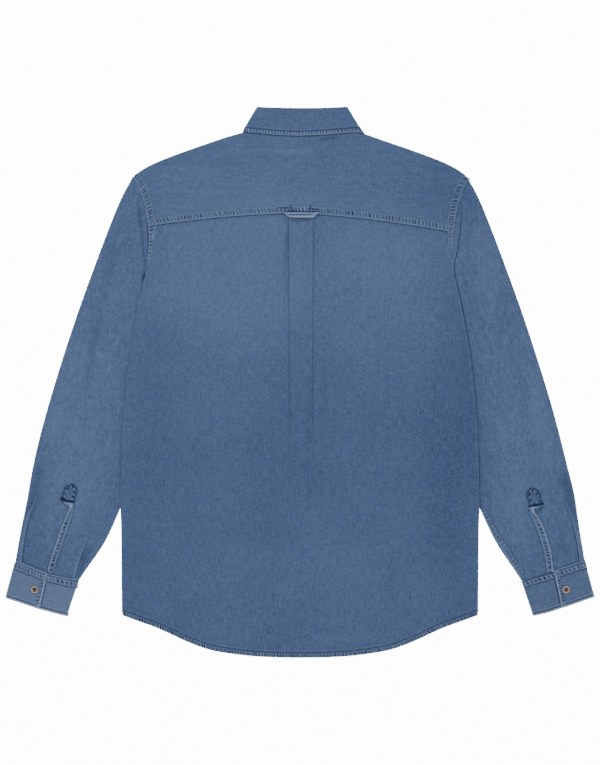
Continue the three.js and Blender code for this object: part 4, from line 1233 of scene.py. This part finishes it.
class SHIRT_OT_seams(bpy.types.Operator):
    """Makes the sewn seams of the body, with their rows of stitches"""

    bl_idname = "shirt.seams"
    bl_label = "Body seams"

    def execute(self, context):
        body = Surface([piece(name) for name in BODY_TOP])
        back = Surface([piece("back_panel"), piece("yoke_panel")])
        seam_x = np.linspace(-226, 226, 30)
        armhole = list(zip(ARMHOLE["x"], ARMHOLE["y"]))[::-1]
        above_yoke = armhole[4:]
        hem = list(zip(HEM["x"], HEM["y"]))
        whole_hem = [*[(-x, y) for x, y in hem[:0:-1]], *hem]
        cross, lengthwise = MATERIALS["crosswise"], MATERIALS["body"]
        sewn_edge("yoke_seam", list(zip(seam_x, yoke_seam(seam_x))), YOKE_SEAM, back, cross, 11)
        seams = {side: ARMHOLE_SEAM._replace(outward=out) for side, out in ARMHOLE_OUTWARD.items()}
        sewn_edge("armhole_seam_right", armhole, seams["right"], body, lengthwise, 21,
                  sewn=above_yoke, narrow=narrow_below_yoke,
                  fade=lambda share: smooth((share - 0.18) / 0.15))
        sewn_edge("armhole_seam_left", mirrored(armhole), seams["left"], body, lengthwise, 22,
                  sewn=mirrored(above_yoke), narrow=lambda share: narrow_below_yoke(1 - share),
                  fade=lambda share: smooth((1 - share) / 0.12))
        sewn_edge("hem_seam", whole_hem, HEM_SEAM, back, lengthwise, 31, ends=HEM_SIDES)
        armholes = ("armhole_seam_right", "armhole_seam_left")
        seamed = Surface([piece(name) for name in (*BODY_TOP, *armholes)])
        seam_band("side_crease_right", [*SIDE_LINE, *RIGHT_FOLD], SIDE_CREASE, seamed, lengthwise, 33,
                  fade=towards_yoke)
        seam_band("side_blend_left", mirrored(SIDE_LINE), SIDE_BLEND, seamed, lengthwise, 34)
        seam_band("sleeve_fold_left", LEFT_FOLD, LEFT_FOLD_SEAM, seamed, MATERIALS["sleeve_left"], 35,
                  fade=both_ends)
        seam_band("yoke_end_fold", YOKE_END_FOLD, YOKE_END_FOLD_SEAM, back, lengthwise, 36,
                  fade=both_ends)
        return {"FINISHED"}


def towards_yoke(share):
    """Grows up the side of the body, and ends at the yoke."""
    return (0.5 + 0.5 * smooth((share - 0.3) / 0.35)) * smooth((1 - share) / 0.05)


def both_ends(share):
    """Fades out towards both ends."""
    return smooth(share / 0.3) * smooth((1 - share) / 0.3)


class SHIRT_OT_sleeve_seams(bpy.types.Operator):
    """Makes the folds and the sewn edges of the sleeves"""

    bl_idname = "shirt.sleeve_seams"
    bl_label = "Sleeve seams"

    def execute(self, context):
        for side in SIDES:
            sleeve = Surface([piece(f"sleeve_{side}_panel")])
            cloth = MATERIALS[f"sleeve_{side}"]
            upward = side == "left"
            for k, (width, pleat) in enumerate(CUFF_PLEATS[side]):
                seam = CUFF_PLEAT._replace(width=width)
                seam_band(f"cuff_pleat_{side}_{k + 1}", pleat, seam, sleeve, cloth, 50 + k,
                          narrow=lambda share: toward_cuff(share, upward, 0.8),
                          fade=lambda share: toward_cuff(share, upward, 0.5))
        right = Surface([piece("sleeve_right_panel")])
        cloth = MATERIALS["sleeve_right"]
        sewn_edge("underarm_seam", UNDERARM_LINE, UNDERARM_SEAM, right, cloth, 71)
        return {"FINISHED"}


def toward_cuff(share, upward, reach):
    """Grows from the far end of a pleat towards the cuff."""
    return 0.05 + 0.95 * smooth((1 - share if upward else share) / reach)


class SHIRT_OT_cuff_seams(bpy.types.Operator):
    """Makes the sewn edges of the cuffs"""

    bl_idname = "shirt.cuff_seams"
    bl_label = "Cuff seams"

    def execute(self, context):
        for side in SIDES:
            place = mirrored if side == "left" else list
            cuff = Surface([piece(f"cuff_{side}_band")])
            for seed, (name, path) in enumerate(CUFFS[side].items(), 80 + 10 * SIDES[side]):
                sewn_edge(f"cuff_{name}_{side}", place(path), CUFF_SEAMS[name], cuff,
                          MATERIALS[f"cuff_{side}"], seed)
        return {"FINISHED"}


class SHIRT_OT_collar_seams(bpy.types.Operator):
    """Makes the sewn edge of the collar leaf"""

    bl_idname = "shirt.collar_seams"
    bl_label = "Collar seams"

    def execute(self, context):
        leaf = Surface([piece(name) for name in ("collar_leaf_panel", "collar_stand_band", "yoke_panel")])
        sewn_edge("collar_seam", COLLAR_EDGE, COLLAR_SEAM, leaf, MATERIALS["crosswise"], 41,
                  ends=COLLAR_SIDES)
        return {"FINISHED"}


BAR_PITCH = 0.6
# Rows across the yoke seam that hold the locker loop: ends of each bar
LOOP_BARS = [
    [(-13.2, 265.6), (-14.2, 255.4)],
    [(15.8, 266), (14.2, 255.4)],
    [(-12, 256.6), (-5, 259.4)],
    [(-33, 261.4), (-13, 261.6)],
    [(15, 259.8), (31, 259.4)],
    [(-23, 256.2), (31, 255.4)],
]


class SHIRT_OT_bartacks(bpy.types.Operator):
    """Makes the dense stitches that hold the loop, and those of the buttonholes"""

    bl_idname = "shirt.bartacks"
    bl_label = "Bartacks and buttonholes"

    def execute(self, context):
        seam = Surface([piece("yoke_seam"), piece("yoke_panel")])
        bars = [(bar, 0) for bar in LOOP_BARS]
        stitches("loop_bartacks", bars, seam, BAR_PITCH, turned=True, material="bar_thread")
        for side, sign in SIDES.items():
            cuff = Surface([piece(f"cuff_{side}_band"), piece(f"cuff_end_{side}")])
            hole = [([(sign * 402, -308), (sign * 390, -311.5)], 0)]
            stitches(f"cuff_buttonhole_{side}", hole, cuff, BAR_PITCH, turned=True,
                     material="bar_thread")
        front = Surface([piece("front_left_panel")], DOWN)
        holes = [([(0, y - 8), (0, y + 8)], 0) for y in FRONT_BUTTONS]
        stitches("front_buttonholes", holes, front, BAR_PITCH, turned=True, material="bar_thread")
        return {"FINISHED"}


# Heights of the front's buttons, from the top down
FRONT_BUTTONS = (262, 167, 72, -23, -118, -213)
# Rows of stitches on the side that lies on the table
UNDER_ROWS = [
    [(-13, 322), (-13, -398)],
    [(13, 322), (13, -398)],
    [(-60, -402), (-115, -396), (-173, -378), (-212, -360), (-255, -343)],
    [(60, -402), (115, -396), (173, -378), (212, -360), (255, -343)],
]


class SHIRT_OT_front_seams(bpy.types.Operator):
    """Makes the rows of stitches on the fronts"""

    bl_idname = "shirt.front_seams"
    bl_label = "Front seams"

    def execute(self, context):
        fronts = Surface([piece("front_left_panel"), piece("front_right_panel")], DOWN)
        stitches("front_stitches", [(row, 0) for row in UNDER_ROWS], fronts)
        return {"FINISHED"}


# A button: the radii of its rings, its holes' distance from the middle lines, and its heights
BUTTON_RINGS = (0.3, 0.6, 0.9, 1.2, 1.5, 1.8, 2.1, 2.5, 3.0, 3.4, 3.8, 4.2, 4.6, 5.0, 5.3, 5.55, 5.7)
BUTTON_HOLE = 1.15
DISH_HEIGHT = 1.15
RIM_RISE = 0.6
EDGE_FALL = 0.85
HOLE_DEPTH = 0.7


def button(node, x, y, z, facing):
    """A four-hole button with a raised rim, on the table side of it at height z."""
    turn = np.linspace(0, 2 * math.pi, 40, endpoint=False)[None, :]
    radius = np.array(BUTTON_RINGS)[:, None]
    across, along = radius * np.cos(turn), radius * np.sin(turn)
    rim = smooth((radius - 2.9) / 1.1)
    height = DISH_HEIGHT + RIM_RISE * rim - EDGE_FALL * smooth((radius - 4.9) / 0.8) + 0 * turn
    # The pale rim is the button's own colour; the dark ring at the rim's foot and the darker falling edge
    # are painted shade
    wear_light_and_shade = 1.2 * bump(radius - 4.4, 1.0) - 0.5 * bump(radius - 3.1, 0.4) + 0 * turn
    wear_light_and_shade = wear_light_and_shade - 0.4 * smooth((radius - 5.2) / 0.5)
    for hx in (-BUTTON_HOLE, BUTTON_HOLE):
        for hy in (-BUTTON_HOLE, BUTTON_HOLE):
            hole = bump(np.hypot(across - hx, along - hy), 0.5)
            height = height - HOLE_DEPTH * hole
            # Painted shade in the holes
            wear_light_and_shade = wear_light_and_shade - 1.2 * hole
    top = [(0, 0, DISH_HEIGHT)] + np.dstack([across, along, height]).reshape(-1, 3).tolist()
    edge = np.dstack([across[-1:], along[-1:], 0 * across[-1:]]).reshape(-1, 3).tolist()
    points = np.array([*top, *edge, (0, 0, 0)])
    count = turn.size
    faces = [(0, 1 + k, 1 + (k + 1) % count) for k in range(count)]
    for ring in range(len(BUTTON_RINGS)):
        start = 1 + ring * count
        for k in range(count):
            after = start + (k + 1) % count
            faces.append((start + k, start + count + k, after + count, after))
    last = 1 + len(BUTTON_RINGS) * count
    faces += [(last + (k + 1) % count, last + k, last + count) for k in range(count)]
    points[:, 2] *= facing
    mesh = bpy.data.meshes.new(node)
    mesh.from_pydata(((points + (x, y, z)) * MM).tolist(), [], [f[::facing] for f in faces])
    set_wear_light_and_shade(mesh, np.concatenate([[0], wear_light_and_shade.ravel(), np.zeros(count + 1)]))
    mesh.shade_smooth()
    mesh.set_sharp_from_angle(angle=math.radians(50))
    return finish_piece(new_object(f"{node}_disc", mesh), MATERIALS["button"], [node])


class SHIRT_OT_buttons(bpy.types.Operator):
    """Makes the buttons of the front, the collar stand and the cuffs, with their thread"""

    bl_idname = "shirt.buttons"
    bl_label = "Buttons"

    def execute(self, context):
        under = [(f"front_button_{k + 1}", 0, y) for k, y in enumerate(FRONT_BUTTONS)]
        under.append(("stand_button", 1, 330))
        upper = [("cuff_button_left", -397.2, -309.8), ("cuff_button_right", 398.5, -309.8)]
        for name, places, facing, level in (("cuff", upper, UP, 5.7), ("front", under, DOWN, 1.8)):
            discs = [button(node, x, y, level, facing) for node, x, y in places]
            bars = [([(x - 3, y + hole), (x + 3, y + hole)], 0)
                    for _, x, y in places for hole in (-BUTTON_HOLE, BUTTON_HOLE)]
            stitches(f"{name}_button_thread", bars, Surface(discs, facing), 3, material="bar_thread")
        return {"FINISHED"}


class Cloth(NamedTuple):
    """The cut of a sheet: its flat width, length and area in metres, and what is sewn on it."""

    piece: str
    width: float
    length: float
    area: float
    sewn: tuple = ()
    held: str = "laid"
    rests_on: tuple = ()


class SHIRT_OT_cloth(bpy.types.Operator):
    """An empty step, which states and makes nothing"""

    bl_idname = "shirt.cloth"
    bl_label = "Cloth"

    def execute(self, context):
        return {"FINISHED"}


# The stage, in metres. Each light has its name, place, size and energy.
FLOOR_HALF = 6.0
WORLD_LIGHT = 0.55
LIGHTS = (
    ("top light", (-0.7, 0.9, 2.4), 2.2, 25),
    ("side light", (1.5, -0.4, 1.8), 2.0, 9),
)
CAMERA_Y = 0.00025
SENSOR_WIDTH = 36


class SHIRT_OT_stage(bpy.types.Operator):
    """Makes the pale floor, the soft light and the camera"""

    bl_idname = "shirt.stage"
    bl_label = "Stage"

    def execute(self, context):
        studio = context.scene.shirt_studio
        mesh = bpy.data.meshes.new("floor")
        corners = [(x * FLOOR_HALF, y * FLOOR_HALF, 0) for x, y in ((-1, -1), (1, -1), (1, 1), (-1, 1))]
        mesh.from_pydata(corners, [], [(0, 1, 2, 3)])
        floor = new_object("floor", mesh)
        shader = Shader("floor")
        floor.data.materials.append(
            shader.finish({
                "Base Color": rgba(studio.floor),
                "Roughness": 0.9,
                "Specular IOR Level": 0.1,
                "Emission Color": rgba(studio.floor),
                "Emission Strength": studio.floor_glow,
            }))
        world = bpy.data.worlds.new("studio")
        world.use_nodes = True
        background = world.node_tree.nodes["Background"]
        background.inputs["Color"].default_value = (1, 1, 1, 1)
        background.inputs["Strength"].default_value = WORLD_LIGHT * studio.light
        context.scene.world = world
        for name, place, size, energy in LIGHTS:
            data = bpy.data.lights.new(name, "AREA")
            data.size = size
            data.energy = energy * studio.light
            light = bpy.data.objects.new(name, data)
            light.location = place
            light.rotation_euler = (-Vector(place)).to_track_quat("-Z", "Y").to_euler()
            context.scene.collection.objects.link(light)
        camera_data = bpy.data.cameras.new("camera")
        camera_data.sensor_width = SENSOR_WIDTH
        camera_data.lens = SENSOR_WIDTH * studio.camera_height / studio.view_height
        camera = bpy.data.objects.new("camera", camera_data)
        camera.location = (0, CAMERA_Y, studio.camera_height)
        context.scene.collection.objects.link(camera)
        context.scene.camera = camera
        return {"FINISHED"}


OPERATORS = (
    SHIRT_OT_back,
    SHIRT_OT_yoke,
    SHIRT_OT_fronts,
    SHIRT_OT_sleeves,
    SHIRT_OT_sleeve_plackets,
    SHIRT_OT_cuffs,
    SHIRT_OT_collar,
    SHIRT_OT_locker_loop,
    SHIRT_OT_seams,
    SHIRT_OT_sleeve_seams,
    SHIRT_OT_cuff_seams,
    SHIRT_OT_collar_seams,
    SHIRT_OT_front_seams,
    SHIRT_OT_bartacks,
    SHIRT_OT_buttons,
    SHIRT_OT_cloth,
    SHIRT_OT_stage,
)


class SHIRT_PT_pieces(bpy.types.Panel):
    """Lists the settings and the pieces of the shirt"""

    bl_idname = "SHIRT_PT_pieces"
    bl_label = "Denim shirt"
    bl_space_type = "VIEW_3D"
    bl_region_type = "UI"
    bl_category = "Shirt"

    def draw(self, context):
        scene = context.scene
        for group in (scene.shirt_sewing, scene.shirt_colours, scene.shirt_studio):
            for name in group.bl_rna.properties.keys():
                if name not in ("rna_type", "name"):
                    self.layout.prop(group, name)
        for operator in OPERATORS:
            self.layout.operator(operator.bl_idname)


GROUPS = (SewingSettings, DenimColours, StudioSettings)


def register():
    for cls in (*GROUPS, *OPERATORS, SHIRT_PT_pieces):
        bpy.utils.register_class(cls)
    bpy.types.Scene.shirt_sewing = bpy.props.PointerProperty(type=SewingSettings)
    bpy.types.Scene.shirt_colours = bpy.props.PointerProperty(type=DenimColours)
    bpy.types.Scene.shirt_studio = bpy.props.PointerProperty(type=StudioSettings)


def unregister():
    del bpy.types.Scene.shirt_studio
    del bpy.types.Scene.shirt_colours
    del bpy.types.Scene.shirt_sewing
    for cls in reversed((*GROUPS, *OPERATORS, SHIRT_PT_pieces)):
        bpy.utils.unregister_class(cls)


def main():
    register()
    make_materials(bpy.context.scene.shirt_colours)
    for operator in OPERATORS:
        group, name = operator.bl_idname.split(".")
        getattr(getattr(bpy.ops, group), name)()


if __name__ == "__main__":
    main()
